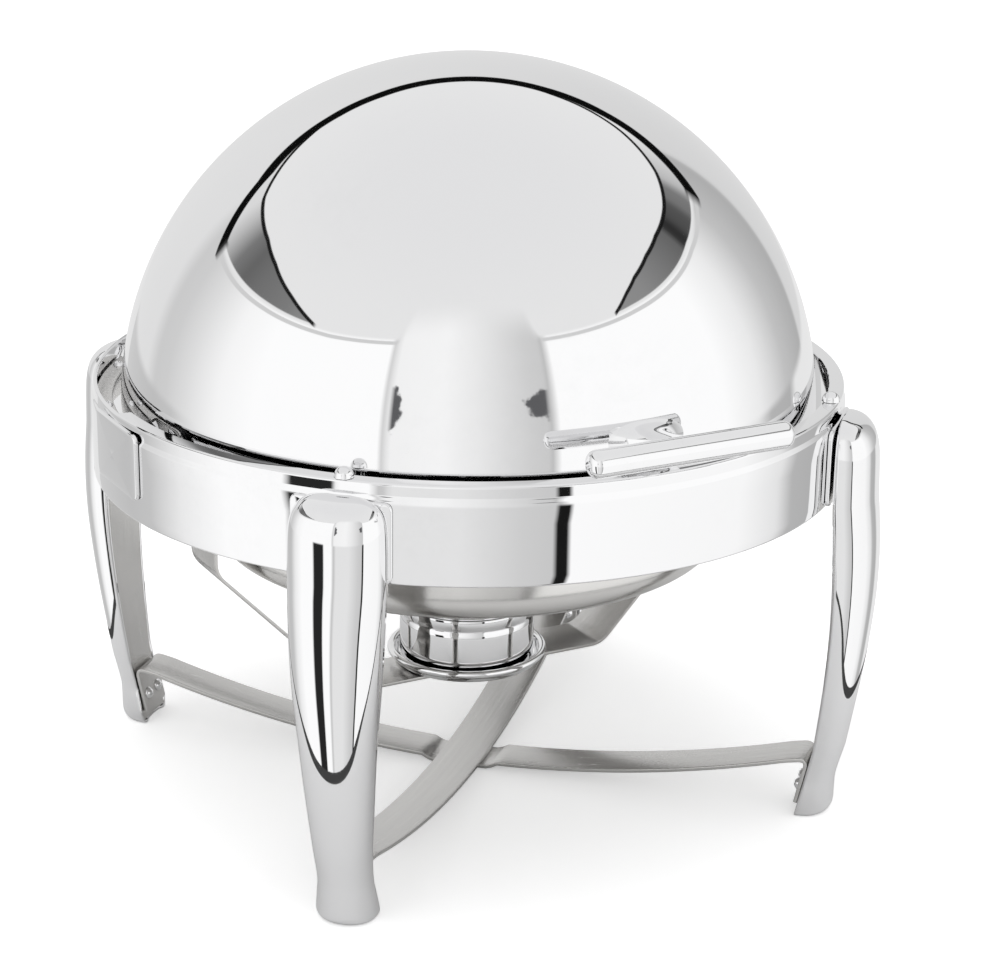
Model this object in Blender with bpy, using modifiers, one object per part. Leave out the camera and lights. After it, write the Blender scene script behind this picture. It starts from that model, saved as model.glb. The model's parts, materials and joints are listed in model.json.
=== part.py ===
"""Roll top chafer: a half-sphere lid that rolls back inside a ring on four legs.

Every piece is modelled about the centre of the lid's sphere, which lies on the hinge axis,
and hangs on the empty hinge_centre. The front, with the handle, faces -Y and +X is the right.
The origin is on the table, in the middle of the whole object's length and width.
"""

from math import cos, pi, radians, sin, sqrt, tan

import bmesh
import bpy
from mathutils import Vector

MM = 0.001
GAP = 0.3 * MM
UP = Vector((0, 0, 1))

# Lid
DOME_R = 205 * MM
DOME_WALL = 1.2 * MM
SKIRT_DROP = 11.6 * MM
BEAD_R = 2.4 * MM
AXLE_DROP = 234 * MM
RING_STEPS = 40
SMALL_STEPS = 28

# Ring that carries everything
BAND_R = 221.7 * MM
BAND_WALL = 1.5 * MM
BAND_TOP = 21 * MM
BAND_FOOT = -34.4 * MM
LIP_LOW = 12.3 * MM
LIP_R = 220.5 * MM
FLANGE_R = 212 * MM

# Handle, set out along a radius of the lid that tilts up from the front
HANDLE_TILT = radians(9.6)
BAR_REACH = 249 * MM
BAR_R = 7.5 * MM
BAR_HALF = 61.5 * MM
BAR_END_DISC_R = 2 * MM

# The reach of the handle and of the ring put the hinge behind the middle of the object.
FRONT_REACH = BAR_REACH * cos(HANDLE_TILT) + BAR_R
HINGE_Y = (FRONT_REACH - BAND_R) / 2

# Hinge
PIN_R = 4 * MM
PIN_HOLE_R = PIN_R + GAP
BUSH_R = 6 * MM
PLATE_LOW = 8 * MM
PLATE_T = 2 * MM
PLATE_IN = 209.6 * MM
PLATE_OUT = 219 * MM
INSIDE_R = 219.2 * MM
PLATE_START = radians(5)
PLATE_END = radians(41)
EAR_X = 208.8 * MM
EAR_T = 2 * MM
HINGE_SCREW_R = 213.9 * MM
HINGE_SCREW_ANGLES = {"front": radians(14), "rear": radians(36)}

# Pans and the frame that holds them
FRAME_TOP = -7 * MM
FRAME_IN = 168.6 * MM
FRAME_OUT = 185.5 * MM
HANGER_X = 196.5 * MM
HANGER_LEG_X = 172.9 * MM
HANGER_W = 28 * MM
SHEET_T = 2 * MM
PAN_R = 155 * MM
PAN_WALL_LOW = -52 * MM
PAN_FLOOR = -87 * MM
PAN_WALL = 1 * MM
PAN_FLAT_R = 92 * MM
PAN_CURVE = 4.2
PAN_RIM_R = 183 * MM
PAN_LIP_TOP = 2.5 * MM
FOOD_R = 147 * MM
FOOD_FLOOR = -66 * MM

# Burner
BURNER_W = 36 * MM
BURNER_TAB_X = 170.6 * MM
BURNER_BEND_Z = -77 * MM
BURNER_TOP = -164.5 * MM
BURNER_FLAT = 85.5 * MM
BURNER_SCREW_Z = -34 * MM
DISH_R = 48.7 * MM
CUP_R = 41 * MM
CUP_TOP = -126 * MM

# Legs: height below the hinge, distance of the flat back, depth in front of it, half width
LEG_AZIMUTHS = {"front_left": -45, "front_right": 45, "rear_left": -135, "rear_right": 135}
LEG_WALL = 1.6 * MM
LEG_BACK = 224.4 * MM
FOOT_LINE_Z = -190 * MM
FOOT_LINE_X = 219.3 * MM
FOOT_SLOPE = 0.2125
LEG_ROWS = [
    (14, 2.0, 10.0),
    (12.7, 8.5, 16.0),
    (9.5, 14.0, 21.0),
    (4, 18.0, 24.6),
    (-6, 20.6, 26.6),
    (-30, 21.8, 27.0),
    (-60, 22.8, 26.0),
    (-90, 22.2, 24.4),
    (-125, 20.2, 21.4),
    (-160, 18.2, 18.8),
    (-190, 16.8, 16.4),
    (-208, 16.0, 15.6),
    (-216.5, 17.0, 16.4),
    (-226, 18.9, 17.5),
    (-231.3, 18.1, 16.8),
    (-234, 14.6, 14.6),
    (-234, 2.0, 10.8),
]
PAD_T = 2 * MM
PAD_HALF = radians(7.25)
COVER_HALF = radians(8)
COVER_TOP = 16.7 * MM
COVER_FOOT = -21 * MM
COVER_CORNER = 3.5 * MM
LEG_BOLT_Z = -11 * MM
LEG_BOLT_R = 3 * MM
FOOT_SCREW_Z = -216 * MM
FOOT_SCREW_APART = 14 * MM
SCREW_R = 2 * MM

# Straps between opposite legs
STRAP_W = 28 * MM
STRAP_T = 2.5 * MM
STRAP_MID_Z = -228.8 * MM
STRAP_RISE = 29.5 * MM
STRAP_SPAN = 205 * MM

LID_REST_ANGLE = 25
STUD_R = 216 * MM


def material(name, colour, roughness, metallic=1.0):
    made = bpy.data.materials.new(name)
    made.use_nodes = True
    shader = made.node_tree.nodes["Principled BSDF"]
    shader.inputs["Base Color"].default_value = (*colour, 1)
    shader.inputs["Roughness"].default_value = roughness
    shader.inputs["Metallic"].default_value = metallic
    made.diffuse_color = (*colour, 1)
    return made


def clear_scene():
    for thing in list(bpy.context.scene.objects):
        bpy.data.objects.remove(thing)


def collection(name):
    made = bpy.data.collections.new(name)
    bpy.context.scene.collection.children.link(made)
    return made


def place(name, mesh, finish, parent=None):
    """Put a mesh into the object's collection, about the hinge centre or about parent."""
    piece = bpy.data.objects.new(name, mesh)
    if finish and not mesh.materials:
        mesh.materials.append(finish)
    parts.objects.link(piece)
    piece.parent = parent or hinge_centre
    return piece


def mesh_from(name, bm):
    bmesh.ops.recalc_face_normals(bm, faces=bm.faces[:])
    mesh = bpy.data.meshes.new(name)
    bm.to_mesh(mesh)
    bm.free()
    mesh.shade_smooth()
    mesh.set_sharp_from_angle(angle=radians(35))
    return mesh


def turn_mesh(name, profile):
    """A profile of (radius, height) pairs: closed, unless both its ends lie on the axis."""
    count = len(profile)
    links = [(i, i + 1) for i in range(count - 1)]
    if profile[0][0] > 0:
        links.append((count - 1, 0))
    mesh = bpy.data.meshes.new(name)
    mesh.from_pydata([(r, 0, z) for r, z in profile], links, [])
    return mesh


def add_screw(piece, steps):
    turn = piece.modifiers.new("Turn", "SCREW")
    turn.steps = turn.render_steps = steps
    turn.use_merge_vertices = True
    turn.merge_threshold = 0.00001
    return piece


def turned(name, profile, steps, finish, parent=None):
    return add_screw(place(name, turn_mesh(name, profile), finish, parent), steps)


def aim(piece, centre, direction):
    """Stand a piece's Z axis along direction, with its origin at centre."""
    piece.rotation_mode = "QUATERNION"
    piece.rotation_quaternion = UP.rotation_difference(Vector(direction))
    piece.location = centre
    return piece


def arc(centre, radius, start, end, steps):
    """Points of a round stretch, angles in degrees from +X."""
    return [
        (
            centre[0] + radius * cos(radians(start + (end - start) * i / steps)),
            centre[1] + radius * sin(radians(start + (end - start) * i / steps)),
        )
        for i in range(steps + 1)
    ]


def rounded(points, radius, steps=3):
    """A path with each inner corner turned into an arc of the given radius."""
    path = [points[0]]
    for before, corner, after in zip(points, points[1:], points[2:]):
        c = Vector(corner)
        a = (Vector(before) - c).normalized()
        b = (Vector(after) - c).normalized()
        half = a.angle(b) / 2
        if abs(half - pi / 2) < 0.02:
            path.append(corner)
            continue
        middle = c + (a + b).normalized() * (radius / sin(half))
        first = c + a * (radius / tan(half)) - middle
        last = c + b * (radius / tan(half)) - middle
        sweep = first.angle_signed(last)
        for i in range(steps + 1):
            turn = -sweep * i / steps
            spoke = Vector((
                first.x * cos(turn) - first.y * sin(turn),
                first.x * sin(turn) + first.y * cos(turn),
            ))
            path.append(tuple(middle + spoke))
    path.append(points[-1])
    return path


def arc_mesh(name, profile, start, sweep, steps):
    """A closed profile of (radius, height) pairs carried about the vertical axis."""
    bm = bmesh.new()
    face = bm.faces.new(
        [bm.verts.new((r * cos(start), r * sin(start), z)) for r, z in profile]
    )
    bmesh.ops.spin(
        bm,
        geom=[face, *face.edges, *face.verts],
        cent=(0, 0, 0),
        axis=(0, 0, 1),
        angle=sweep,
        steps=steps,
        use_duplicate=False,
    )
    return mesh_from(name, bm)


def strip_mesh(name, path, half_widths):
    """An open ribbon through the (x, z) points of a path, as wide at each as half_widths says."""
    bm = bmesh.new()
    rows = [
        (bm.verts.new((x, -half, z)), bm.verts.new((x, half, z)))
        for (x, z), half in zip(path, half_widths)
    ]
    for (a, b), (c, d) in zip(rows, rows[1:]):
        bm.faces.new((a, b, d, c))
    return mesh_from(name, bm)


def thicken(piece, thickness, offset=0.0):
    wall = piece.modifiers.new("Wall", "SOLIDIFY")
    wall.thickness = thickness
    wall.offset = offset
    wall.use_even_offset = True
    return piece


def strip(name, path, width, thickness, finish, parent=None):
    mesh = strip_mesh(name, path, [width / 2] * len(path))
    return thicken(place(name, mesh, finish, parent), thickness)


def cylinder_mesh(name, radius, length, segments=20):
    bm = bmesh.new()
    bmesh.ops.create_cone(
        bm, cap_ends=True, segments=segments, radius1=radius, radius2=radius, depth=length
    )
    return mesh_from(name, bm)


def box_mesh(name, low, high):
    bm = bmesh.new()
    bmesh.ops.create_cube(bm, size=1)
    size = Vector(high) - Vector(low)
    bmesh.ops.scale(bm, vec=size, verts=bm.verts[:])
    bmesh.ops.translate(bm, vec=(Vector(high) + Vector(low)) / 2, verts=bm.verts[:])
    return mesh_from(name, bm)


def cutter(name, mesh, parent=None):
    tool = bpy.data.objects.new(name, mesh)
    cutters.objects.link(tool)
    tool.parent = parent or hinge_centre
    tool.hide_render = True
    tool.display_type = "WIRE"
    return tool


def drill(name, radius, length, centre, direction, parent=None, segments=12):
    tool = cutter(name, cylinder_mesh(name, radius, length, segments), parent)
    return aim(tool, centre, direction)


def combine(piece, tool, operation="DIFFERENCE"):
    joint = piece.modifiers.new(tool.name, "BOOLEAN")
    joint.operation = operation
    joint.solver = "EXACT"
    joint.object = tool
    return piece


def fastener(name, head_r, head_h, shank_r, length, centre, direction, parent=None):
    """A domed head above the origin, and a plain shank below it."""
    profile = [
        (0, head_h),
        (head_r * 0.75, head_h * 0.8),
        (head_r, 0),
        (shank_r, 0),
        (shank_r, -length),
        (0, -length),
    ]
    return aim(turned(name, profile, 10, polished, parent), centre, direction)


def turned_frame(azimuth):
    """An empty at the hinge centre whose X axis points out at azimuth, in degrees from the front."""
    frame = bpy.data.objects.new(f"frame_{azimuth}", None)
    parts.objects.link(frame)
    frame.parent = hinge_centre
    frame.rotation_euler.z = radians(azimuth - 90)
    return frame


def moving_frame(name, parent=None):
    """An empty on a joint, from which a moving group hangs."""
    frame = bpy.data.objects.new(name, None)
    parts.objects.link(frame)
    frame.parent = parent or hinge_centre
    return frame


def make_band():
    profile = [
        (FLANGE_R, BAND_TOP),
        (LIP_R - 1 * MM, BAND_TOP),
        (LIP_R, BAND_TOP - 1 * MM),
        (BAND_R, LIP_LOW),
        (BAND_R, BAND_FOOT + 1 * MM),
        (BAND_R - 1 * MM, BAND_FOOT),
        (BAND_R - 5 * MM, BAND_FOOT),
        (BAND_R - 5 * MM, BAND_FOOT + BAND_WALL),
        (BAND_R - BAND_WALL, BAND_FOOT + BAND_WALL),
        (BAND_R - BAND_WALL, LIP_LOW - 1 * MM),
        (LIP_R - BAND_WALL, BAND_TOP - BAND_WALL),
        (FLANGE_R, BAND_TOP - BAND_WALL),
    ]
    band = turned("band", profile, RING_STEPS, polished)
    # Behind the hinge the flange is cut away, so that the lid can roll down inside the wall.
    clear_r = LIP_R - 1.1 * MM
    half_ring = [
        (150 * MM, BAND_TOP + 5 * MM),
        (clear_r, BAND_TOP + 5 * MM),
        (clear_r, BAND_TOP - 6 * MM),
        (150 * MM, BAND_TOP - 6 * MM),
    ]
    mesh = arc_mesh("rear_flange", half_ring, radians(1.5), radians(177), 36)
    combine(band, cutter("rear_flange", mesh))
    for name, frame in leg_frames.items():
        centre = (BAND_R, 0, LEG_BOLT_Z)
        combine(band, drill(f"band_hole_{name}", LEG_BOLT_R + GAP, 20 * MM, centre, (1, 0, 0), frame))
    for side, azimuth in (("left", "front_left"), ("right", "front_right")):
        centre = (STUD_R, 0, BAND_TOP)
        tool = drill(f"stud_hole_{side}", 2.5 * MM + GAP, 8 * MM, centre, UP, leg_frames[azimuth])
        combine(band, tool)


def make_studs():
    for side, corner in (("left", "front_left"), ("right", "front_right")):
        centre = (STUD_R, 0, BAND_TOP + GAP)
        name = f"flange_stud_{side}"
        fastener(name, 5.3 * MM, 5 * MM, 2.5 * MM, 6 * MM, centre, UP, leg_frames[corner])


def make_lid_rests():
    """Angle pieces inside the band, on whose tabs the closed lid's rim lies."""
    top = -SKIRT_DROP - BEAD_R - GAP
    profile = [
        (203.5 * MM, top),
        (INSIDE_R, top),
        (INSIDE_R, top - 12 * MM),
        (INSIDE_R - 1.6 * MM, top - 12 * MM),
        (INSIDE_R - 1.6 * MM, top - 2 * MM),
        (203.5 * MM, top - 2 * MM),
    ]
    for side, sign in (("left", -1), ("right", 1)):
        middle = radians(sign * LID_REST_ANGLE - 90)
        mesh = arc_mesh(f"lid_rest_{side}", profile, middle - radians(3.2), radians(6.4), 4)
        place(f"lid_rest_{side}", mesh, satin)


def make_dome():
    bead = arc((DOME_R + 0.2 * MM, -SKIRT_DROP), BEAD_R, 95, -125, 6)
    profile = [(0, DOME_R)]
    profile += arc((0, 0), DOME_R, 90, 0, RING_STEPS // 4)[1:]
    profile += bead
    inner = DOME_R - DOME_WALL
    profile += arc((0, 0), inner, 0, 90, RING_STEPS // 4)[:-1]
    profile.append((0, inner))
    dome = turned("dome", profile, RING_STEPS, polished, dome_pivot)
    reach = 2 * DOME_R + 20 * MM
    bore = drill("dome_axle_bore", BUSH_R + GAP, reach, (0, 0, 0), (1, 0, 0), dome_pivot)
    combine(dome, bore)
    hole = drill("dome_screw_hole", 2.8 * MM, 12 * MM, (0, -DOME_R, 0), (0, 1, 0), handle_frame)
    combine(dome, hole)


def make_handle():
    end = BAR_HALF
    curve = BAR_R - BAR_END_DISC_R
    corner = arc((BAR_END_DISC_R, end - curve), curve, 90, 0, 4)
    profile = [(0, end)] + corner
    profile += [(r, -z) for r, z in reversed(corner)] + [(0, -end)]
    bar = turned("handle_bar", profile, 20, polished, handle_frame)
    aim(bar, (0, -BAR_REACH, 0), (1, 0, 0))

    # Stem: distance from the centre, half width along the bar, half height
    sections = [
        (202, 22, 9),
        (206, 18.5, 8),
        (211, 13, 6.8),
        (218, 9, 5.9),
        (227, 7.5, 5.4),
        (235, 8, 5.4),
        (242, 10, 5.6),
        (247, 12, 5.8),
    ]
    bm = bmesh.new()
    count = 18
    rings = [
        [
            bm.verts.new((a * MM * cos(2 * pi * i / count), -s * MM, b * MM * sin(2 * pi * i / count)))
            for i in range(count)
        ]
        for s, a, b in sections
    ]
    for first, second in zip(rings, rings[1:]):
        for i in range(count):
            j = (i + 1) % count
            bm.faces.new((first[i], first[j], second[j], second[i]))
    bm.faces.new(rings[0])
    bm.faces.new(rings[-1])
    stem = place("handle_stem", mesh_from("handle_stem", bm), polished, handle_frame)

    bm = bmesh.new()
    bmesh.ops.create_uvsphere(bm, u_segments=96, v_segments=64, radius=DOME_R + 0.6 * MM)
    combine(stem, cutter("stem_root", mesh_from("stem_root", bm), handle_frame))
    saddle = drill(
        "stem_saddle", BAR_R + 0.35 * MM, 60 * MM, (0, -BAR_REACH, 0), (1, 0, 0), handle_frame, 40
    )
    combine(stem, saddle)
    bore = drill("stem_bore", 2.8 * MM, 20 * MM, (0, -212 * MM, 0), (0, 1, 0), handle_frame)
    combine(stem, bore)
    seat = (DOME_R - DOME_WALL) * cos(pi / RING_STEPS) ** 2 - GAP
    fastener(
        "handle_screw", 5 * MM, 3 * MM, 2.5 * MM, 16 * MM, (0, -seat, 0), (0, 1, 0), handle_frame
    )


def make_hinge(side, sign):
    """Everything on one end of the hinge axis, built at +X and turned to the side it belongs to."""
    frame = side_frames[side]
    # At +X the rear of the object lies at +Y; the left side's frame is turned half way round.
    behind = sign
    shelf_top = PLATE_LOW - GAP

    def about(angle):
        return behind * angle

    plate_profile = [
        (PLATE_IN, PLATE_LOW + PLATE_T),
        (PLATE_OUT, PLATE_LOW + PLATE_T),
        (PLATE_OUT, PLATE_LOW),
        (PLATE_IN, PLATE_LOW),
    ]
    sweep = about(PLATE_END - PLATE_START)
    mesh = arc_mesh(f"hinge_plate_{side}", plate_profile, about(PLATE_START), sweep, 9)
    plate = place(f"hinge_plate_{side}", mesh, satin, frame)
    y_low, y_high = sorted((-13 * MM * behind, 25 * MM * behind))
    ear_low = (EAR_X, y_low, -13 * MM)
    ear_high = (EAR_X + EAR_T, y_high, PLATE_LOW + PLATE_T * 0.6)
    ear = cutter(f"ear_{side}", box_mesh(f"ear_{side}", ear_low, ear_high), frame)
    combine(plate, ear, "UNION")
    pin_hole = drill(f"ear_hole_{side}", PIN_HOLE_R, 12 * MM, (EAR_X, 0, 0), (1, 0, 0), frame)
    combine(plate, pin_hole)

    wall_low = shelf_top - 20 * MM
    base_profile = [
        (PLATE_IN, shelf_top),
        (INSIDE_R, shelf_top),
        (INSIDE_R, wall_low),
        (INSIDE_R - 1.6 * MM, wall_low),
        (INSIDE_R - 1.6 * MM, shelf_top - PLATE_T),
        (PLATE_IN, shelf_top - PLATE_T),
    ]
    start = about(PLATE_START + radians(4))
    sweep = about(PLATE_END - PLATE_START - radians(4))
    mesh = arc_mesh(f"hinge_base_{side}", base_profile, start, sweep, 8)
    base = place(f"hinge_base_{side}", mesh, satin, frame)

    for end, angle in HINGE_SCREW_ANGLES.items():
        x = HINGE_SCREW_R * cos(angle)
        y = HINGE_SCREW_R * sin(about(angle))
        hole = drill(f"hinge_hole_{side}_{end}", SCREW_R + GAP, 12 * MM, (x, y, PLATE_LOW), UP, frame)
        combine(plate, hole)
        combine(base, hole)
        seat = (x, y, PLATE_LOW + PLATE_T + GAP)
        fastener(f"hinge_screw_{side}_{end}", 3.4 * MM, 2.6 * MM, SCREW_R, 9 * MM, seat, UP, frame)

    seat = (EAR_X + EAR_T + GAP, 0, 0)
    inner_end = 189 * MM
    length = seat[0] - inner_end
    fastener(f"pivot_pin_{side}", 6.5 * MM, 3.6 * MM, PIN_R, length, seat, (1, 0, 0), frame)
    nut_profile = [
        (6.8 * MM, 2.5 * MM),
        (6.8 * MM, -2.5 * MM),
        (PIN_HOLE_R, -2.5 * MM),
        (PIN_HOLE_R, 2.5 * MM),
    ]
    nut = turned(f"pivot_nut_{side}", nut_profile, 12, polished, frame)
    aim(nut, (HANGER_X - SHEET_T / 2 - GAP - 2.5 * MM, 0, 0), (1, 0, 0))

    outer_face = DOME_R + GAP
    bush_profile = [
        (8.5 * MM, 2.9 * MM),
        (8.5 * MM, 0),
        (BUSH_R, 0),
        (BUSH_R, -6.1 * MM),
        (PIN_HOLE_R, -6.1 * MM),
        (PIN_HOLE_R, 2.9 * MM),
    ]
    bush = turned(f"pivot_bush_{side}", bush_profile, 20, nylon, bush_frames[side])
    aim(bush, (outer_face, 0, 0), (1, 0, 0))


def make_hinge_covers():
    """A round-cornered plate on the outside of the ring, over each end of the hinge axis."""
    inner = BAND_R + 0.35 * MM
    outer = inner + PAD_T
    edge = 0.8 * MM
    flat = COVER_HALF - COVER_CORNER / outer
    corner = [
        (flat + COVER_CORNER / outer * sin(radians(turn)), COVER_CORNER * (1 - cos(radians(turn))))
        for turn in (0, 30, 60, 90)
    ]
    columns = [(-angle, inset) for angle, inset in reversed(corner)]
    columns += [(flat * (i - 3) / 3, 0) for i in range(1, 6)]
    columns += corner
    bm = bmesh.new()
    rings = []
    for angle, inset in columns:
        top = COVER_TOP - inset
        foot = COVER_FOOT + inset
        section = [
            (inner, top),
            (outer - edge, top),
            (outer, top - edge),
            (outer, foot + edge),
            (outer - edge, foot),
            (inner, foot),
        ]
        rings.append([bm.verts.new((r * cos(angle), r * sin(angle), z)) for r, z in section])
    for this, other in zip(rings, rings[1:]):
        for i in range(len(this)):
            j = (i + 1) % len(this)
            bm.faces.new((this[i], this[j], other[j], other[i]))
    bm.faces.new(rings[0])
    bm.faces.new(rings[-1])
    mesh = mesh_from("hinge_cover", bm)
    for side, frame in side_frames.items():
        place(f"hinge_cover_{side}", mesh, polished, frame)


def make_pan_frame():
    """A flat ring under the pans, joined to a Z-shaped hanger on each pivot pin."""
    thick = 2 * MM
    ring_profile = [
        (FRAME_OUT, FRAME_TOP),
        (FRAME_OUT, FRAME_TOP - thick),
        (FRAME_IN, FRAME_TOP - thick),
        (FRAME_IN, FRAME_TOP),
    ]
    ring = turned("pan_frame", ring_profile, RING_STEPS, satin)
    step_z = FRAME_TOP - 1.2 * thick
    path = rounded(
        [(HANGER_X, 10 * MM), (HANGER_X, step_z), (HANGER_LEG_X, step_z), (HANGER_LEG_X, -46 * MM)],
        2.5 * MM,
        2,
    )
    for side in ("left", "right"):
        frame = side_frames[side]
        mesh = strip_mesh(f"hanger_{side}", path, [HANGER_W / 2] * len(path))
        hanger = thicken(cutter(f"hanger_{side}", mesh, frame), SHEET_T)
        combine(ring, hanger, "UNION")
        pin_hole = drill(f"hanger_hole_{side}", PIN_HOLE_R, 6 * MM, (HANGER_X, 0, 0), (1, 0, 0), frame)
        combine(ring, pin_hole)
        combine(ring, strap_holes[side])


def make_burner():
    path = [
        (BURNER_TAB_X, -20 * MM),
        (BURNER_TAB_X, BURNER_BEND_Z),
        (BURNER_FLAT, BURNER_TOP - 1 * MM),
        (-BURNER_FLAT, BURNER_TOP - 1 * MM),
        (-BURNER_TAB_X, BURNER_BEND_Z),
        (-BURNER_TAB_X, -20 * MM),
    ]
    strap = strip("burner_strap", rounded(path, 6 * MM), BURNER_W, SHEET_T, satin)
    for side in ("left", "right"):
        combine(strap, strap_holes[side])
        seat = (HANGER_LEG_X + SHEET_T / 2 + GAP, 0, BURNER_SCREW_Z)
        fastener(
            f"burner_screw_{side}", 4 * MM, 2.6 * MM, SCREW_R, 6 * MM, seat, (1, 0, 0),
            side_frames[side],
        )

    # A vessel's profile runs from the middle of its floor up the inside and down the outside.
    floor = BURNER_TOP + GAP
    dish = [
        (0, floor + 1 * MM),
        (DISH_R - 8 * MM, floor + 1 * MM),
        (DISH_R - 5.2 * MM, floor + 2.2 * MM),
    ]
    dish += arc((DISH_R - 1.6 * MM, floor + 6.4 * MM), 1.6 * MM, 150, -60, 5)
    dish += [(DISH_R - 4.5 * MM, floor + 1.2 * MM), (DISH_R - 8 * MM, floor), (0, floor)]
    turned("burner_dish", dish, SMALL_STEPS, satin)

    cup_floor = floor + 1 * MM + GAP
    wall = 1 * MM
    cup = [
        (0, cup_floor + wall),
        (CUP_R - 3.4 * MM, cup_floor + wall),
        (CUP_R - wall, cup_floor + 2.6 * MM),
        (CUP_R - wall, CUP_TOP),
        (CUP_R, CUP_TOP),
        (CUP_R, cup_floor + 2 * MM),
        (CUP_R - 3 * MM, cup_floor),
        (0, cup_floor),
    ]
    turned("fuel_cup", cup, SMALL_STEPS, polished, cup_frame)

    low = CUP_TOP + GAP
    lip_r = CUP_R - wall - 0.5 * MM
    cover = [
        (14 * MM, low + 1.2 * MM),
        (CUP_R - 0.6 * MM, low + 1.2 * MM),
        (CUP_R, low + 0.6 * MM),
        (CUP_R, low),
        (lip_r, low),
        (lip_r, low - 5 * MM),
        (lip_r - 1 * MM, low - 5 * MM),
        (lip_r - 1 * MM, low),
        (15 * MM, low),
        (14 * MM, low + 0.4 * MM),
    ]
    turned("fuel_cup_cover", cover, SMALL_STEPS, polished, cover_frame)


def bowl_curve(radius, top, bottom, inner, power, steps):
    """A wall that rounds into a floor: a quarter of a superellipse from the wall to inner."""
    points = []
    for i in range(steps + 1):
        turn = pi / 2 * i / steps
        across = cos(turn) ** (2 / power) if i < steps else 0
        points.append((
            inner + (radius - inner) * across,
            top - (top - bottom) * sin(turn) ** (2 / power),
        ))
    return points


def make_pans():
    flange_low = FRAME_TOP + GAP
    outer = bowl_curve(PAN_R, PAN_WALL_LOW, PAN_FLOOR, PAN_FLAT_R, PAN_CURVE, 7)
    inner = bowl_curve(
        PAN_R - PAN_WALL, PAN_WALL_LOW, PAN_FLOOR + PAN_WALL, PAN_FLAT_R, PAN_CURVE, 7
    )
    profile = [
        (PAN_RIM_R, PAN_LIP_TOP),
        (PAN_RIM_R + PAN_WALL, PAN_LIP_TOP),
        (PAN_RIM_R + PAN_WALL, flange_low),
        (PAN_R, flange_low),
    ]
    profile += outer + [(0, PAN_FLOOR)]
    lining = [(0, PAN_FLOOR + PAN_WALL)] + inner[::-1]
    lining += [(PAN_R - PAN_WALL, flange_low + PAN_WALL), (PAN_RIM_R, flange_low + PAN_WALL)]
    turned("water_pan", lining + profile, RING_STEPS, satin, water_frame)

    rim_low = flange_low + PAN_WALL + GAP
    outer = bowl_curve(FOOD_R, FOOD_FLOOR + 22 * MM, FOOD_FLOOR, FOOD_R - 22 * MM, 2, 4)
    inner = bowl_curve(
        FOOD_R - PAN_WALL, FOOD_FLOOR + 22 * MM, FOOD_FLOOR + PAN_WALL, FOOD_R - 22 * MM, 2, 4
    )
    profile = [
        (FOOD_R + 2 * MM, rim_low + PAN_WALL),
        (180 * MM, rim_low + PAN_WALL),
        (180 * MM, rim_low),
        (FOOD_R, rim_low),
    ]
    profile += outer + [(0, FOOD_FLOOR)]
    lining = [(0, FOOD_FLOOR + PAN_WALL)] + inner[::-1]
    lining += [(FOOD_R - PAN_WALL, rim_low)]
    turned("food_pan", lining + profile, RING_STEPS, satin, food_frame)


def leg_back_x(z):
    """How far out the leg's flat back stands at a height."""
    if z < FOOT_LINE_Z:
        return FOOT_LINE_X - FOOT_SLOPE * (FOOT_LINE_Z - z)
    if z > -34 * MM:
        return LEG_BACK
    # Between the ring and the foot the back bows out a little and comes in again.
    share = (z + 34 * MM) / (FOOT_LINE_Z + 34 * MM)
    bow = 3.4 * MM * sin(pi * share)
    return LEG_BACK + (FOOT_LINE_X - LEG_BACK) * share**1.6 + bow


def leg_shell_mesh():
    """Rows of a D-shaped section, open at the flat back."""
    steps = 8
    bm = bmesh.new()
    rows = []
    for z, depth, half in LEG_ROWS:
        back = leg_back_x(z * MM)
        row = []
        for i in range(steps + 1):
            turn = pi * i / steps - pi / 2
            out = max(cos(turn), 0) ** 0.75
            row.append(bm.verts.new((back + depth * MM * out, half * MM * sin(turn), z * MM)))
        rows.append(row)
    for upper, lower in zip(rows, rows[1:]):
        for i in range(steps):
            bm.faces.new((upper[i], upper[i + 1], lower[i + 1], lower[i]))
    mesh = bpy.data.meshes.new("leg_shell")
    for face in bm.faces:
        centre = face.calc_center_median()
        middle = Vector((leg_back_x(centre.z), 0, min(max(centre.z, -219 * MM), 0)))
        if face.normal.length == 0:
            face.normal_update()
        if face.normal.dot(centre - middle) < 0:
            face.normal_flip()
    bm.to_mesh(mesh)
    bm.free()
    mesh.shade_smooth()
    return mesh


def leg_back_mesh():
    """A ribbon that closes the back of the leg, just inside the edges of its shell."""
    inset = LEG_WALL + 1.1 * MM
    rows = [(z * MM, half * MM - inset) for z, _, half in LEG_ROWS if -231 < z < 6]
    rows.append((-229.5 * MM, rows[-1][1]))
    path = [(leg_back_x(z) + 1 * MM, z) for z, _ in rows]
    return strip_mesh("leg_back", path, [half for _, half in rows])


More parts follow.
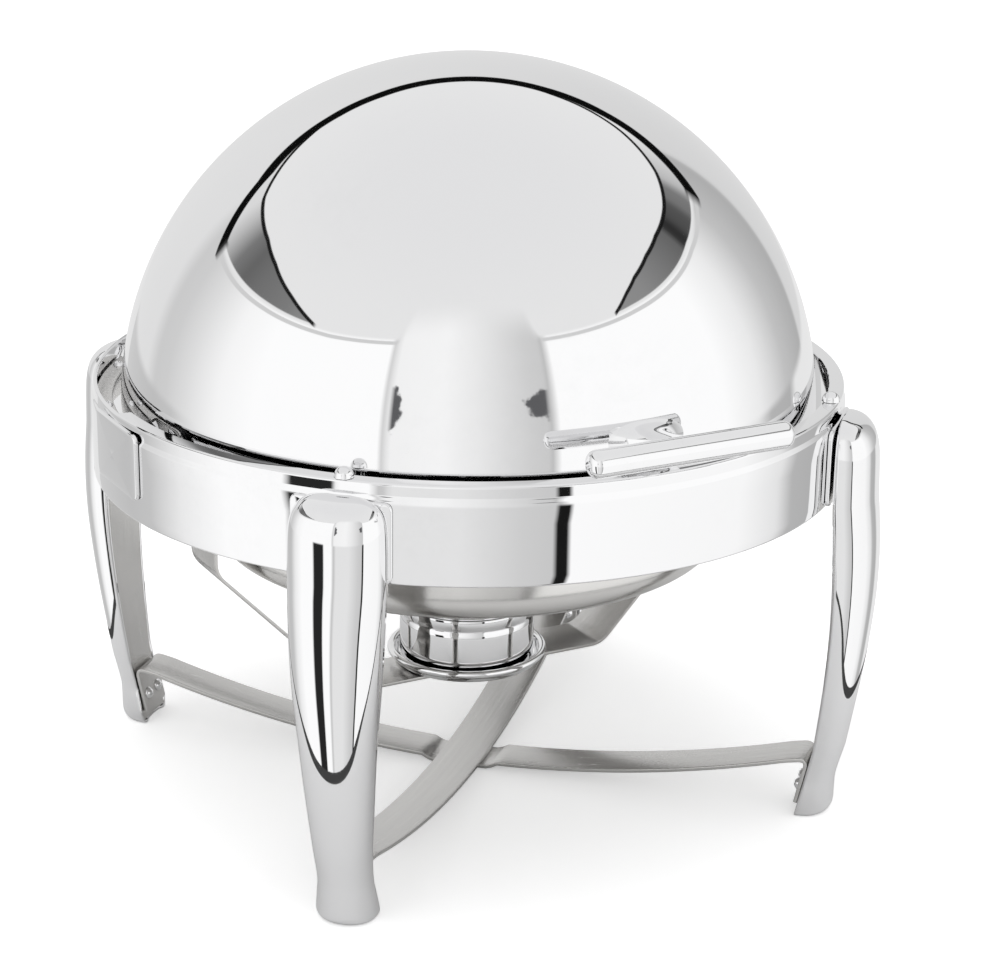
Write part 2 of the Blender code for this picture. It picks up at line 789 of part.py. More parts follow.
def make_legs():
    shell_mesh = leg_shell_mesh()
    back_mesh = leg_back_mesh()
    pad_in = BAND_R + 0.35 * MM
    pad_profile = [
        (pad_in, LIP_LOW - 0.6 * MM),
        (pad_in + PAD_T, LIP_LOW - 1.6 * MM),
        (pad_in + PAD_T, BAND_FOOT + 1 * MM),
        (pad_in, BAND_FOOT),
    ]
    pad_mesh = arc_mesh("leg_pad", pad_profile, -PAD_HALF, 2 * PAD_HALF, 8)
    out = Vector((1, 0, -FOOT_SLOPE)).normalized()
    for corner, frame in leg_frames.items():
        shell = place(f"leg_{corner}", shell_mesh, polished, frame)
        thicken(shell, LEG_WALL, -1)
        back = thicken(place(f"leg_back_{corner}", back_mesh, satin, frame), 1.5 * MM)
        pad = place(f"leg_pad_{corner}", pad_mesh, polished, frame)
        bolt_hole = drill(
            f"leg_hole_{corner}", LEG_BOLT_R + GAP, 14 * MM, (LEG_BACK, 0, LEG_BOLT_Z), (1, 0, 0),
            frame,
        )
        combine(pad, bolt_hole)
        combine(back, bolt_hole)
        seat = (219.6 * MM, 0, LEG_BOLT_Z)
        fastener(f"leg_bolt_{corner}", 6 * MM, 4 * MM, LEG_BOLT_R, 11 * MM, seat, (-1, 0, 0), frame)

        seat_x = leg_back_x(FOOT_SCREW_Z) - STRAP_T - 2 * GAP
        for side, sign in (("left", -1), ("right", 1)):
            y = sign * FOOT_SCREW_APART / 2
            centre = Vector((seat_x, y, FOOT_SCREW_Z))
            hole = drill(f"foot_hole_{corner}_{side}", SCREW_R + GAP, 16 * MM, centre, out, frame)
            combine(back, hole)
            strap_cutters[corner].append(hole)
            fastener(
                f"foot_screw_{corner}_{side}", 4 * MM, 2.8 * MM, SCREW_R, 8 * MM,
                centre, -out, frame,
            )


def strap_path(dip):
    """One bowed strap with a tab down the back of the leg at each end; dip lowers its middle."""
    half = []
    reach = 202 * MM
    steps = 9
    for i in range(steps + 1):
        s = reach * i / steps
        half.append((s, STRAP_MID_Z + STRAP_RISE * (s / STRAP_SPAN) ** 2))
    if dip:
        bend_in, bend_out = 19 * MM, 23 * MM
        low = STRAP_MID_Z - dip
        rise = STRAP_MID_Z + STRAP_RISE * (bend_out / STRAP_SPAN) ** 2
        half = [(0, low), (bend_in, low), (bend_out, rise)] + half[2:]
    offset = STRAP_T / 2 + GAP
    lean = sqrt(1 + FOOT_SLOPE**2)
    tab_low, corner_z = -226 * MM, -197.5 * MM
    tab = [(leg_back_x(z) - offset * lean, z) for z in (corner_z, tab_low)]
    half += tab
    path = [(-s, z) for s, z in reversed(half[1:])] + half
    return rounded_ends(path, 5 * MM)


def rounded_ends(path, radius):
    """Round the first and last corners of a path and leave the rest as it is."""
    first = rounded(path[:3], radius, 4)
    last = rounded(path[-3:], radius, 4)
    return first[:-1] + path[2:-2] + last[1:]


def make_cross_straps():
    pairs = {
        "cross_strap_upper": ("front_left", "rear_right", 0),
        "cross_strap_lower": ("front_right", "rear_left", STRAP_T + GAP),
    }
    for name, (near, far, dip) in pairs.items():
        strap = strip(name, strap_path(dip), STRAP_W, STRAP_T, satin, leg_frames[near])
        for hole in strap_cutters[near] + strap_cutters[far]:
            combine(strap, hole)


clear_scene()
parts = collection("roll_top_chafer")
cutters = collection("cutters")

polished = material("polished_steel", (0.86, 0.86, 0.87), 0.06)
satin = material("satin_steel", (0.62, 0.61, 0.59), 0.34)
nylon = material("nylon", (0.09, 0.09, 0.1), 0.5, 0.0)

hinge_centre = bpy.data.objects.new("hinge_centre", None)
parts.objects.link(hinge_centre)
hinge_centre.location = (0, HINGE_Y, AXLE_DROP)

dome_pivot = moving_frame("dome_pivot")
handle_frame = moving_frame("handle_frame", dome_pivot)
handle_frame.rotation_euler.x = -HANDLE_TILT
water_frame = moving_frame("water_pan_lift")
food_frame = moving_frame("food_pan_lift", water_frame)
cup_frame = moving_frame("fuel_cup_lift")
cover_frame = moving_frame("fuel_cup_cover_lift", cup_frame)
leg_frames = {corner: turned_frame(azimuth) for corner, azimuth in LEG_AZIMUTHS.items()}
side_frames = {"left": turned_frame(-90), "right": turned_frame(90)}
bush_frames = {}
for side_name, azimuth in (("left", -90), ("right", 90)):
    bush_frames[side_name] = moving_frame(f"bush_frame_{side_name}", dome_pivot)
    bush_frames[side_name].rotation_euler.z = radians(azimuth - 90)
strap_cutters = {corner: [] for corner in LEG_AZIMUTHS}
strap_holes = {
    side: drill(
        f"strap_hole_{side}", SCREW_R + GAP, 14 * MM, (HANGER_LEG_X, 0, BURNER_SCREW_Z),
        (1, 0, 0), side_frames[side],
    )
    for side in side_frames
}

make_band()
make_studs()
make_lid_rests()
make_dome()
make_handle()
make_hinge("left", -1)
make_hinge("right", 1)
make_hinge_covers()
make_pan_frame()
make_burner()
make_pans()
make_legs()
make_cross_straps()
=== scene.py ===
"""Roll top chafer: a mirror-polished half-sphere lid that rolls back inside a ring on four legs.

Everything stands about the hinge centre, the middle of the lid's sphere. The handle is at the
front, towards -Y, and +X is the right. Heights below are measured from the hinge centre.
"""

import json
import math

import bpy
import numpy as np
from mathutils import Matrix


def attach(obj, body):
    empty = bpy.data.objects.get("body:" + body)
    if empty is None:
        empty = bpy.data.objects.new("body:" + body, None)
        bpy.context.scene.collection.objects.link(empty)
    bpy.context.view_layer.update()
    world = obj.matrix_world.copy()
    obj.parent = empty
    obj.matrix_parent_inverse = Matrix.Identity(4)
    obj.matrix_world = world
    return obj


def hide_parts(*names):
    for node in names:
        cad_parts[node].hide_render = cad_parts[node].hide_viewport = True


bl_info = {
    "name": "Roll Top Chafer",
    "version": (1, 0, 0),
    "blender": (4, 5, 0),
    "location": "3D View > Sidebar > Chafer",
    "description": "Makes the polished and satin steel pieces of a round roll top chafer",
    "category": "Object",
}

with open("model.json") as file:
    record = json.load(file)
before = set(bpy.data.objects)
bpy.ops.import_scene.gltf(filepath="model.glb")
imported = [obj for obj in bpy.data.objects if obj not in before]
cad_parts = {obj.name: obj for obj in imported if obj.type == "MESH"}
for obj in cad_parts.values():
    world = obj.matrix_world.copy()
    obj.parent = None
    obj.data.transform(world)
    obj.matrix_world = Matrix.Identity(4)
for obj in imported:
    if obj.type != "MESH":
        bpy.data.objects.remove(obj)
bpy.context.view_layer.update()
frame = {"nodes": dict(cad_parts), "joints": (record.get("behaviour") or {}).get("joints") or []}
LID_JOINT = next(j for j in frame["joints"] if j["name"] == "lid_roll")
HINGE = np.array(LID_JOINT["pos_m"])
MM = 0.001
CORNERS = {"front_left": -45, "front_right": 45, "rear_left": -135, "rear_right": 135}
SIDES = {"left": -90, "right": 90}


def length(name, text, default):
    """A size in metres, given in millimetres."""
    return bpy.props.FloatProperty(name=name, description=text, default=default * MM, unit="LENGTH")


def colour(name, text, default):
    """A colour, as its red, green and blue shares."""
    return bpy.props.FloatVectorProperty(
        name=name, description=text, default=default, size=3, subtype="COLOR", min=0, max=1
    )


def share(name, text, default):
    """A share from 0 to 1."""
    return bpy.props.FloatProperty(
        name=name, description=text, default=default, min=0, max=1, subtype="FACTOR"
    )


def angle(name, text, default):
    """An angle in radians, given in degrees."""
    return bpy.props.FloatProperty(
        name=name, description=text, default=math.radians(default), subtype="ANGLE"
    )


class ChaferLid(bpy.types.PropertyGroup):
    radius: length("Radius", "Outer radius of the half-sphere lid", 205)
    wall: length("Wall", "Thickness of the lid's sheet", 1.2)
    skirt: length("Skirt", "Height of the straight part below the hinge axis", 11.6)
    bead: length("Bead", "Radius of the rolled edge", 2.4)
    handle_tilt: angle("Handle Tilt", "Rise of the handle above the level of the hinge", 9.6)
    handle_reach: length("Handle Reach", "From the hinge centre to the middle of the bar", 249)
    bar_radius: length("Bar Radius", "Radius of the handle bar", 7.5)
    bar_half: length("Bar Half Length", "Half the length of the handle bar", 61.5)


class ChaferRing(bpy.types.PropertyGroup):
    radius: length("Radius", "Outer radius of the ring", 221.7)
    wall: length("Wall", "Thickness of the ring's sheet", 1.5)
    top: length("Top", "Height of the flange", 21)
    foot: length("Foot", "Height of the ring's lower edge", -34.4)
    flange: length("Flange", "Inner radius of the flange on the front half", 212)


class ChaferPans(bpy.types.PropertyGroup):
    water_radius: length("Water Pan Radius", "Radius of the water pan's wall", 155)
    water_floor: length("Water Pan Floor", "Height of the water pan's underside", -87)
    water_bend: length("Water Pan Bend", "Height at which the water pan's wall starts to curve", -52)
    water_flat: length("Water Pan Flat", "Radius of the level middle of the floor", 92)
    food_radius: length("Food Pan Radius", "Radius of the food pan's wall", 147)
    food_floor: length("Food Pan Floor", "Height of the food pan's underside", -66)
    wall: length("Wall", "Thickness of the pans' sheet", 1)


class ChaferBurner(bpy.types.PropertyGroup):
    strap_width: length("Strap Width", "Width of the strap that carries the burner", 36)
    strap_top: length("Strap Top", "Height of the strap's level part", -164.5)
    dish_radius: length("Dish Radius", "Outer radius of the dish under the fuel cup", 48.7)
    cup_radius: length("Cup Radius", "Outer radius of the fuel cup", 41)
    cup_top: length("Cup Top", "Height of the fuel cup's edge", -126)


class ChaferLegs(bpy.types.PropertyGroup):
    wall: length("Wall", "Thickness of the leg's shell", 1.6)
    back: length("Back", "Distance of the leg's flat back from the middle", 224.4)
    strap_width: length("Cross Strap Width", "Width of the straps between the feet", 28)
    strap_thickness: length("Cross Strap Thickness", "Thickness of those straps", 2.5)


class ChaferFinish(bpy.types.PropertyGroup):
    polished: colour("Polished Steel", "Colour of mirror-polished steel", (0.9, 0.9, 0.905))
    polished_roughness: share("Polished Roughness", "Blur of the mirror polish", 0.025)
    satin: colour("Satin Steel", "Colour of brushed steel", (0.68, 0.671, 0.656))
    satin_roughness: share("Satin Roughness", "Blur of the brushed steel", 0.25)
    nylon: colour("Nylon", "Colour of the pivot bushes", (0.03, 0.03, 0.033))


class ChaferStudio(bpy.types.PropertyGroup):
    floor: colour("Floor", "Colour of the studio floor", (0.93, 0.93, 0.93))
    camera_distance: length("Camera Distance", "From the hinge centre to the camera", 1544)
    camera_azimuth: angle("Camera Azimuth", "Turn of the camera to the left of the front", 27.7)
    camera_height: angle("Camera Elevation", "Rise of the camera above the hinge", 17.1)
    lens: bpy.props.FloatProperty(
        name="Lens", description="Focal length of the camera", default=93.4, unit="CAMERA"
    )


GROUPS = {
    "chafer_lid": ChaferLid,
    "chafer_ring": ChaferRing,
    "chafer_pans": ChaferPans,
    "chafer_burner": ChaferBurner,
    "chafer_legs": ChaferLegs,
    "chafer_finish": ChaferFinish,
    "chafer_studio": ChaferStudio,
}


SCRATCH_DEPTH = 0.03 * MM
PEBBLE_DEPTH = 0.05 * MM

# Screws, in mm: radius and height of the head, radius and length of the shank, depth of the cross.
SCREWS = {
    "handle": (5, 3, 2.4, 16, 1.2),
    "hinge": (3.6, 2.3, 2, 9, 1.1),
    "pivot": (6.5, 3.4, 4, 21.9, 1.6),
    "burner": (4.2, 2.6, 2, 6, 1.2),
    "leg": (6, 3.8, 3, 9, 1.8),
    "foot": (4, 2.8, 2, 8, 1.2),
}

# The handle's stem, in mm: distance from the hinge centre, half its width and half its height.
STEM_SECTIONS = [
    (203.5, 26, 12), (206, 20.5, 9.2), (209, 15.5, 7.6), (213, 11.6, 6.5), (219, 8.6, 5.8),
    (227, 7.5, 5.4), (235, 8.2, 5.3), (241, 10.4, 5.4), (245.5, 13.2, 5.2), (249, 15.5, 4.2),
]

# Distances from the upright through the hinge centre.
STUD_AT = 216 * MM
HINGE_PLATE_INNER = 209.6 * MM
HINGE_PLATE_OUTER = 219.2 * MM
HINGE_SCREWS_AT = 213.9 * MM
HINGE_EAR_AT = 208.8 * MM
PIN_HEAD_AT = 211.1 * MM
BUSH_AT = 205.3 * MM
BURNER_TAB_AT = 170.6 * MM
BURNER_SCREW_AT = 174.2 * MM
LEG_BOLT_AT = 219.6 * MM

# A leg's back goes straight down, bows out to the ankle and slants in to the floor.
FLOOR = -234 * MM
STRAIGHT_TO = -34 * MM
ANKLE = -190 * MM
ANKLE_AT = 219.3 * MM
LEG_BOW = 3.4 * MM
FOOT_SLANT = 0.2125

# The cross straps: height of the middle, rise over the span, and the tabs at the ends.
STRAP_MIDDLE = -228.8 * MM
STRAP_RISE = 29.5 * MM
STRAP_SPAN = 205 * MM
STRAP_TABS = (-197.5, -226)
FOOT_SCREWS_AT = -216 * MM

# The floor's rim lies between two radii, white to the camera but a painted dark reflection in the
# steel; the rest of the floor goes on to a third.
FLOOR_EDGES = (0.34, 0.355, 14)
CAMERA_TURN = (71.16, -0.76, -28.18)


# Surfaces: a shape is a pair of arrays, its points and its faces.


def grid_faces(rows, columns, close_rows=False, close_columns=False):
    """Quads between neighbours of a grid whose point (i, j) is number i * columns + j."""
    i = np.arange(rows if close_rows else rows - 1)
    j = np.arange(columns if close_columns else columns - 1)
    i, j = np.meshgrid(i, j, indexing="ij")
    k = (i + 1) % rows
    m = (j + 1) % columns
    quads = [i * columns + j, i * columns + m, k * columns + m, k * columns + j]
    return np.stack(quads, -1).reshape(-1, 4).tolist()


def outward(points, faces):
    """Turn every face round when the volume, the sum of a . (b x c) / 6, comes out negative."""
    fans = [(f[0], f[i], f[i + 1]) for f in faces for i in range(1, len(f) - 1)]
    a, b, c = points[np.array(fans)].transpose(1, 0, 2)
    if np.einsum("ij,ij->i", a, np.cross(b, c)).sum() < 0:
        faces = [face[::-1] for face in faces]
    return points, faces


def skin(grid, close_rows=False, close_columns=False, first=None, last=None):
    """A closed surface through a grid of points.

    first and last shut the first and last row: with a fan to the point given, or flat with "flat".
    """
    rows, columns = grid.shape[:2]
    points = grid.reshape(-1, 3)
    faces = grid_faces(rows, columns, close_rows, close_columns)
    for end, start, turned in ((first, 0, True), (last, (rows - 1) * columns, False)):
        if end is None:
            continue
        ring = start + np.arange(columns)
        if isinstance(end, str):
            faces.append((ring[::-1] if turned else ring).tolist())
            continue
        tip = len(points)
        points = np.vstack([points, end])
        onward = np.roll(ring, -1)
        pair = (onward, ring) if turned else (ring, onward)
        faces += np.stack([*pair, np.full(columns, tip)], -1).tolist()
    return outward(points, faces)


def polar(r, turn, z):
    """Points (r cos t, r sin t, z), spread over one another where their arrays differ."""
    return np.stack(np.broadcast_arrays(r * np.cos(turn), r * np.sin(turn), z), -1)


def tube(grid, domed=False):
    """A surface through closed rows of points, shut flat or with a fan to each end's middle."""
    first, last = (grid[0].mean(0), grid[-1].mean(0)) if domed else ("flat", "flat")
    return skin(grid, close_columns=True, first=first, last=last)


def joined(*shapes):
    """Several shapes as one."""
    faces = []
    count = 0
    for points, own_faces in shapes:
        faces += [np.add(face, count).tolist() for face in own_faces]
        count += len(points)
    return np.vstack([points for points, own_faces in shapes]), faces


def spun(profile, steps=128):
    """A profile of (radius, height) turned about Z: (r cos t, r sin t, h) for t once round.

    A profile whose ends lie on the axis is closed there, and any other is closed on itself.
    """
    profile = np.asarray(profile, float)
    on_axis = profile[0, 0] < 1e-9
    body = profile[1:-1] if on_axis else profile
    t = np.linspace(0, 2 * np.pi, steps, endpoint=False)
    grid = polar(body[:, :1], t, body[:, 1:])
    if on_axis:
        first, last = (0, 0, profile[0, 1]), (0, 0, profile[-1, 1])
        return skin(grid, close_columns=True, first=first, last=last)
    return skin(grid, close_rows=True, close_columns=True)


def arc(centre, radius, start, end, steps=8):
    """Points centre + radius (cos t, sin t), t in degrees."""
    t = np.radians(np.linspace(start, end, steps + 1))
    return np.stack([centre[0] + radius * np.cos(t), centre[1] + radius * np.sin(t)], -1)


def softened(points, radius, steps=4, closed=True):
    """An outline with every corner turned into a curve.

    A corner c between cuts a and b becomes the parabola (1-t)^2 a + 2t(1-t) c + t^2 b.
    """
    c = np.asarray(points, float)
    before = np.roll(c, 1, 0)
    after = np.roll(c, -1, 0)
    to_before = before - c
    to_after = after - c
    reach_a = np.minimum(radius, 0.48 * np.linalg.norm(to_before, axis=1))[:, None]
    reach_b = np.minimum(radius, 0.48 * np.linalg.norm(to_after, axis=1))[:, None]
    a = c + to_before / np.maximum(np.linalg.norm(to_before, axis=1), 1e-12)[:, None] * reach_a
    b = c + to_after / np.maximum(np.linalg.norm(to_after, axis=1), 1e-12)[:, None] * reach_b
    t = np.linspace(0, 1, steps + 1)[None, :, None]
    curve = (1 - t) ** 2 * a[:, None] + 2 * t * (1 - t) * c[:, None] + t**2 * b[:, None]
    if closed:
        return curve.reshape(-1, 2)
    return np.vstack([c[:1], curve[1:-1].reshape(-1, 2), c[-1:]])


def smooth_rows(table, steps):
    """Rows of a table joined by Catmull-Rom curves, steps rows to each interval."""
    p = np.asarray(table, float)
    p = np.vstack([2 * p[0] - p[1], p, 2 * p[-1] - p[-2]])
    k = np.repeat(np.arange(1, len(p) - 2), steps)
    t = np.tile(np.arange(steps) / steps, len(p) - 3)[:, None]
    a, b, c, d = p[k - 1], p[k], p[k + 1], p[k + 2]
    rows = 0.5 * (
        2 * b + (c - a) * t + (2 * a - 5 * b + 4 * c - d) * t**2 + (3 * b - a - 3 * c + d) * t**3
    )
    return np.vstack([rows, p[-2]])


def strap(path, width, thickness, edge=0.35 * MM):
    """A flat bar along a path of (x, z), its section a rectangle with rounded corners.

    The section's middle is path + v * normal, and its width lies along Y.
    """
    path = np.asarray(path, float)
    along = np.gradient(path, axis=0)
    along /= np.linalg.norm(along, axis=1)[:, None]
    normal = np.stack([-along[:, 1], along[:, 0]], -1)
    w, h = width / 2, thickness / 2
    section = softened([(-w, -h), (w, -h), (w, h), (-w, h)], edge, 3)
    y = np.broadcast_to(section[:, 0], (len(path), len(section)))
    flat = path[:, None, :] + section[None, :, 1:] * normal[:, None, :]
    grid = np.stack([flat[..., 0], y, flat[..., 1]], -1)
    return tube(grid)


def loop_rows(outline, thickness, edge, rings=6):
    """Rows of (s, t, h) for a plate with a rounded front edge: the outline drawn in towards its
    middle, low at the back face and rising over a quarter circle to the front face."""
    outline = np.asarray(outline, float)
    middle = outline.mean(0)
    away = outline - middle
    reach = np.linalg.norm(away, axis=1)
    deepest = reach.min() * 0.98

    def drawn_in(inset, height):
        shares = np.maximum(1 - inset[:, None] / reach, 0.02)
        flat = middle + away * shares[..., None]
        return np.dstack([flat, np.broadcast_to(height[:, None], shares.shape)])

    turn = np.linspace(0, np.pi / 2, 5)
    inset = np.append(edge * (1 - np.cos(turn)), np.linspace(edge, deepest, rings + 1)[1:])
    height = np.append(thickness - edge + edge * np.sin(turn), np.full(rings, thickness))
    back = drawn_in(np.linspace(deepest, 0, rings + 1), np.zeros(rings + 1))
    return np.concatenate([back, drawn_in(inset, height)])


def at_hinge(shape):
    """Stand a shape built about the origin at the hinge centre."""
    points, faces = shape
    return points + HINGE, faces


def turned_to(shape, azimuth):
    """Turn a shape built out along +X to an azimuth from the front, about the hinge centre."""
    points, faces = shape
    t = math.radians(azimuth - 90)
    turn = np.array([[math.cos(t), math.sin(t), 0], [-math.sin(t), math.cos(t), 0], [0, 0, 1]])
    return points @ turn + HINGE, faces


def stood(shape, centre, direction):
    """Turn a shape's Z axis along a direction and set its origin at a centre.

    The new axes are s = n x helper, t = n x s and n, the direction.
    """
    points, faces = shape
    n = np.asarray(direction, float)
    n = n / np.linalg.norm(n)
    helper = np.array([0, 0, 1.0]) if abs(n[2]) < 0.9 else np.array([1.0, 0, 0])
    s = np.cross(helper, n)
    s /= np.linalg.norm(s)
    t = np.cross(n, s)
    return points @ np.stack([s, t, n]) + np.asarray(centre), faces


def tilted(shape, tilt):
    """Raise a shape's front by an angle about the hinge axis and stand it at the hinge centre."""
    points, faces = shape
    c, s = math.cos(tilt), math.sin(tilt)
    x, y, z = points.T
    return np.stack([x, y * c + z * s, z * c - y * s], -1) + HINGE, faces


def screw_head(kind, steps=48):
    """A domed head over a plain shank.

    The dome is h = height (1 - (r/radius)^2.4). A cross recess sinks it by recess where a point
    lies within the arms, |x| or |y| under an eighth of the diameter, out to 0.62 of the radius.
    """
    radius, height, shank, depth, recess = (v * MM for v in SCREWS[kind])
    t = np.linspace(0, 2 * np.pi, steps, endpoint=False)
    r = np.append(np.linspace(0.04, 0.7, 14), np.linspace(0.75, 1, 8))[:, None] * radius
    arm = np.minimum(np.abs(r * np.cos(t)), np.abs(r * np.sin(t))) / (0.13 * radius)
    inside = np.clip(2.2 - 1.6 * arm, 0, 1) * np.clip((0.66 * radius - r) / (0.08 * radius), 0, 1)
    top = polar(r, t, height * (1 - (r / radius) ** 2.4) - recess * inside)
    low = np.array([(radius, -0.2 * MM), (shank, -0.2 * MM), (shank, -depth)])
    grid = np.concatenate([top, polar(low[:, :1], t, low[:, 1:])])
    return skin(grid, close_columns=True, first=(0, 0, height - recess), last=(0, 0, -depth))


def bowl(radius, top, bottom, inner, power, steps=20):
    """A wall that rounds into a floor: a quarter of a superellipse, from the wall to inner."""
    t = np.linspace(0, np.pi / 2, steps + 1)
    across = np.cos(t) ** (2 / power)
    across[-1] = 0
    down = np.sin(t) ** (2 / power)
    return np.stack([inner + (radius - inner) * across, top - (top - bottom) * down], -1)


def place(name, node, shape, finish_name, body="base", sharp=38, grain=None):
    """Make a piece of a shape, standing for a CAD node and moving with a body.

    Edges sharper than sharp degrees stay crisp, and grain is the way the scratches run.
    """
    points, faces = shape
    mesh = bpy.data.meshes.new(name)
    mesh.from_pydata(points.tolist(), [], faces)
    mesh.update()
    mesh.shade_smooth()
    mesh.set_sharp_from_angle(angle=math.radians(sharp))
    if grain is not None:
        lie = mesh.attributes.new("grain", "FLOAT_VECTOR", "POINT")
        lie.data.foreach_set("vector", np.asarray(grain, np.float32).ravel())
    mesh.materials.append(finish(finish_name))
    piece = bpy.data.objects.new(name, mesh)
    bpy.context.scene.collection.objects.link(piece)
    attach(piece, body)
    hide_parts(node)
    return piece


def fasten(name, node, kind, seat, direction, azimuth):
    """Place a screw with its head's seat at a point, facing a direction, then turned round."""
    shape = turned_to(stood(screw_head(kind), seat, direction), azimuth)
    place(name, node, shape, "small_polish")


def walled(piece, thickness):
    """Give an open sheet its thickness, on the inner side."""
    made = piece.modifiers.new("Wall", "SOLIDIFY")
    made.thickness = thickness
    made.offset = -1
    made.use_even_offset = True


def bored(piece, holes):
    """Cut round holes, each (centre, direction, radius, length), and keep the result."""
    shapes = []
    for centre, direction, radius, reach in holes:
        rod = spun([(0, reach / 2), (radius, reach / 2), (radius, -reach / 2), (0, -reach / 2)], 32)
        shapes.append(stood(rod, centre, direction))
    points, faces = joined(*shapes)
    mesh = bpy.data.meshes.new("drill")
    mesh.from_pydata(points.tolist(), [], faces)
    tool = bpy.data.objects.new("drill", mesh)
    bpy.context.scene.collection.objects.link(tool)
    cut = piece.modifiers.new("Bore", "BOOLEAN")
    cut.operation = "DIFFERENCE"
    cut.solver = "EXACT"
    cut.object = tool
    bpy.context.view_layer.update()
    shown = piece.evaluated_get(bpy.context.evaluated_depsgraph_get())
    finished = bpy.data.meshes.new_from_object(shown)
    piece.modifiers.clear()
    piece.data = finished
    bpy.data.objects.remove(tool)


# Finishes


class Wiring:
    """A node tree with short ways to add nodes and links."""

    def __init__(self, tree):
        self.tree = tree

    def node(self, kind, **settings):
        made = self.tree.nodes.new(kind)
        for key, value in settings.items():
            setattr(made, key, value)
        return made

    def feed(self, socket, value):
        if isinstance(value, bpy.types.NodeSocket):
            self.tree.links.new(value, socket)
        else:
            socket.default_value = value

    def math(self, operation, *values, clamp=False):
        made = self.node("ShaderNodeMath", operation=operation, use_clamp=clamp)
        for socket, value in zip(made.inputs, values):
            self.feed(socket, value)
        return made.outputs[0]

    def ranged(self, value, low, high, to_low=0.0, to_high=1.0):
        made = self.node("ShaderNodeMapRange", interpolation_type="SMOOTHSTEP")
        for key, given in (("Value", value), ("From Min", low), ("From Max", high)):
            self.feed(made.inputs[key], given)
        self.feed(made.inputs["To Min"], to_low)
        self.feed(made.inputs["To Max"], to_high)
        return made.outputs[0]

    def noise(self, vector, scale, detail=2.0, roughness=0.5):
        made = self.node("ShaderNodeTexNoise")
        self.feed(made.inputs["Vector"], vector)
        self.feed(made.inputs["Scale"], scale)
        self.feed(made.inputs["Detail"], detail)
        self.feed(made.inputs["Roughness"], roughness)
        return made.outputs["Fac"]

    def moved(self, vector, location):
        made = self.node("ShaderNodeMapping")
        self.feed(made.inputs["Vector"], vector)
        made.inputs["Location"].default_value = location
        return made.outputs[0]

    def mixed(self, factor, first, second):
        made = self.node("ShaderNodeMix", data_type="RGBA")
        self.feed(made.inputs["Factor"], factor)
        self.feed(made.inputs["A"], first)
        self.feed(made.inputs["B"], second)
        return made.outputs["Result"]

    def bump(self, height, strength, distance):
        made = self.node("ShaderNodeBump")
        made.inputs["Strength"].default_value = strength
        made.inputs["Distance"].default_value = distance
        self.feed(made.inputs["Height"], height)
        return made.outputs["Normal"]

    def grouped(self, group, **values):
        made = self.node("ShaderNodeGroup")
        made.node_tree = group
        for key, value in values.items():
            self.feed(made.inputs[key.replace("_", " ").title()], value)
        return made.outputs


def new_group(name, inputs, outputs):
    """An empty node group with float sockets, and a vector socket for the first input."""
    group = bpy.data.node_groups.new(name, "ShaderNodeTree")
    group.interface.new_socket("Vector", in_out="INPUT", socket_type="NodeSocketVector")
    for key, value in inputs.items():
        made = group.interface.new_socket(key, in_out="INPUT", socket_type="NodeSocketFloat")
        made.default_value = value
    for key in outputs:
        group.interface.new_socket(key, in_out="OUTPUT", socket_type="NodeSocketFloat")
    w = Wiring(group)
    return w, w.node("NodeGroupInput"), w.node("NodeGroupOutput")


def handling_marks():
    """Wiped smears and fingerprints: broad soft patches broken up by finer noise."""
    name = "handling_marks"
    if name in bpy.data.node_groups:
        return bpy.data.node_groups[name]
    w, given, out = new_group(name, {"Size": 9.0, "Amount": 0.5}, ["Mask", "Height"])
    broad = w.noise(given.outputs["Vector"], given.outputs["Size"], 3.0, 0.55)
    finer = w.math("MULTIPLY", given.outputs["Size"], 14.0)
    fine = w.noise(given.outputs["Vector"], finer, 4.0, 0.65)
    patch = w.ranged(broad, 0.45, 0.72)
    mask = w.math("MULTIPLY", patch, w.ranged(fine, 0.3, 0.8))
    w.feed(out.inputs["Mask"], w.math("MULTIPLY", mask, given.outputs["Amount"], clamp=True))
    w.feed(out.inputs["Height"], broad)
    return w.tree


def brushed_grain():
    """Fine scratches along X of the vector: noise drawn out in that direction, in two sizes."""
    name = "brushed_grain"
    if name in bpy.data.node_groups:
        return bpy.data.node_groups[name]
    w, given, out = new_group(name, {"Fineness": 900.0, "Streak": 12.0}, ["Tone", "Height"])
    spread = w.node("ShaderNodeCombineXYZ")
    w.feed(spread.inputs["X"], given.outputs["Streak"])
    w.feed(spread.inputs["Y"], given.outputs["Fineness"])
    w.feed(spread.inputs["Z"], given.outputs["Fineness"])
    drawn = w.node("ShaderNodeVectorMath", operation="MULTIPLY")
    w.feed(drawn.inputs[0], given.outputs["Vector"])
    w.feed(drawn.inputs[1], spread.outputs[0])
    fine = w.noise(drawn.outputs[0], 1.0, 3.0, 0.6)
    coarse = w.noise(drawn.outputs[0], 0.22, 2.0, 0.5)
    w.feed(out.inputs["Tone"], w.math("MULTIPLY_ADD", coarse, 0.5, w.math("MULTIPLY", fine, 0.5)))
    w.feed(out.inputs["Height"], fine)
    return w.tree


def new_finish(name):
    """A fresh material, its shader and its wiring."""
    made = bpy.data.materials.new(name)
    made.use_nodes = True
    shader = made.node_tree.nodes["Principled BSDF"]
    return made, shader, Wiring(made.node_tree)


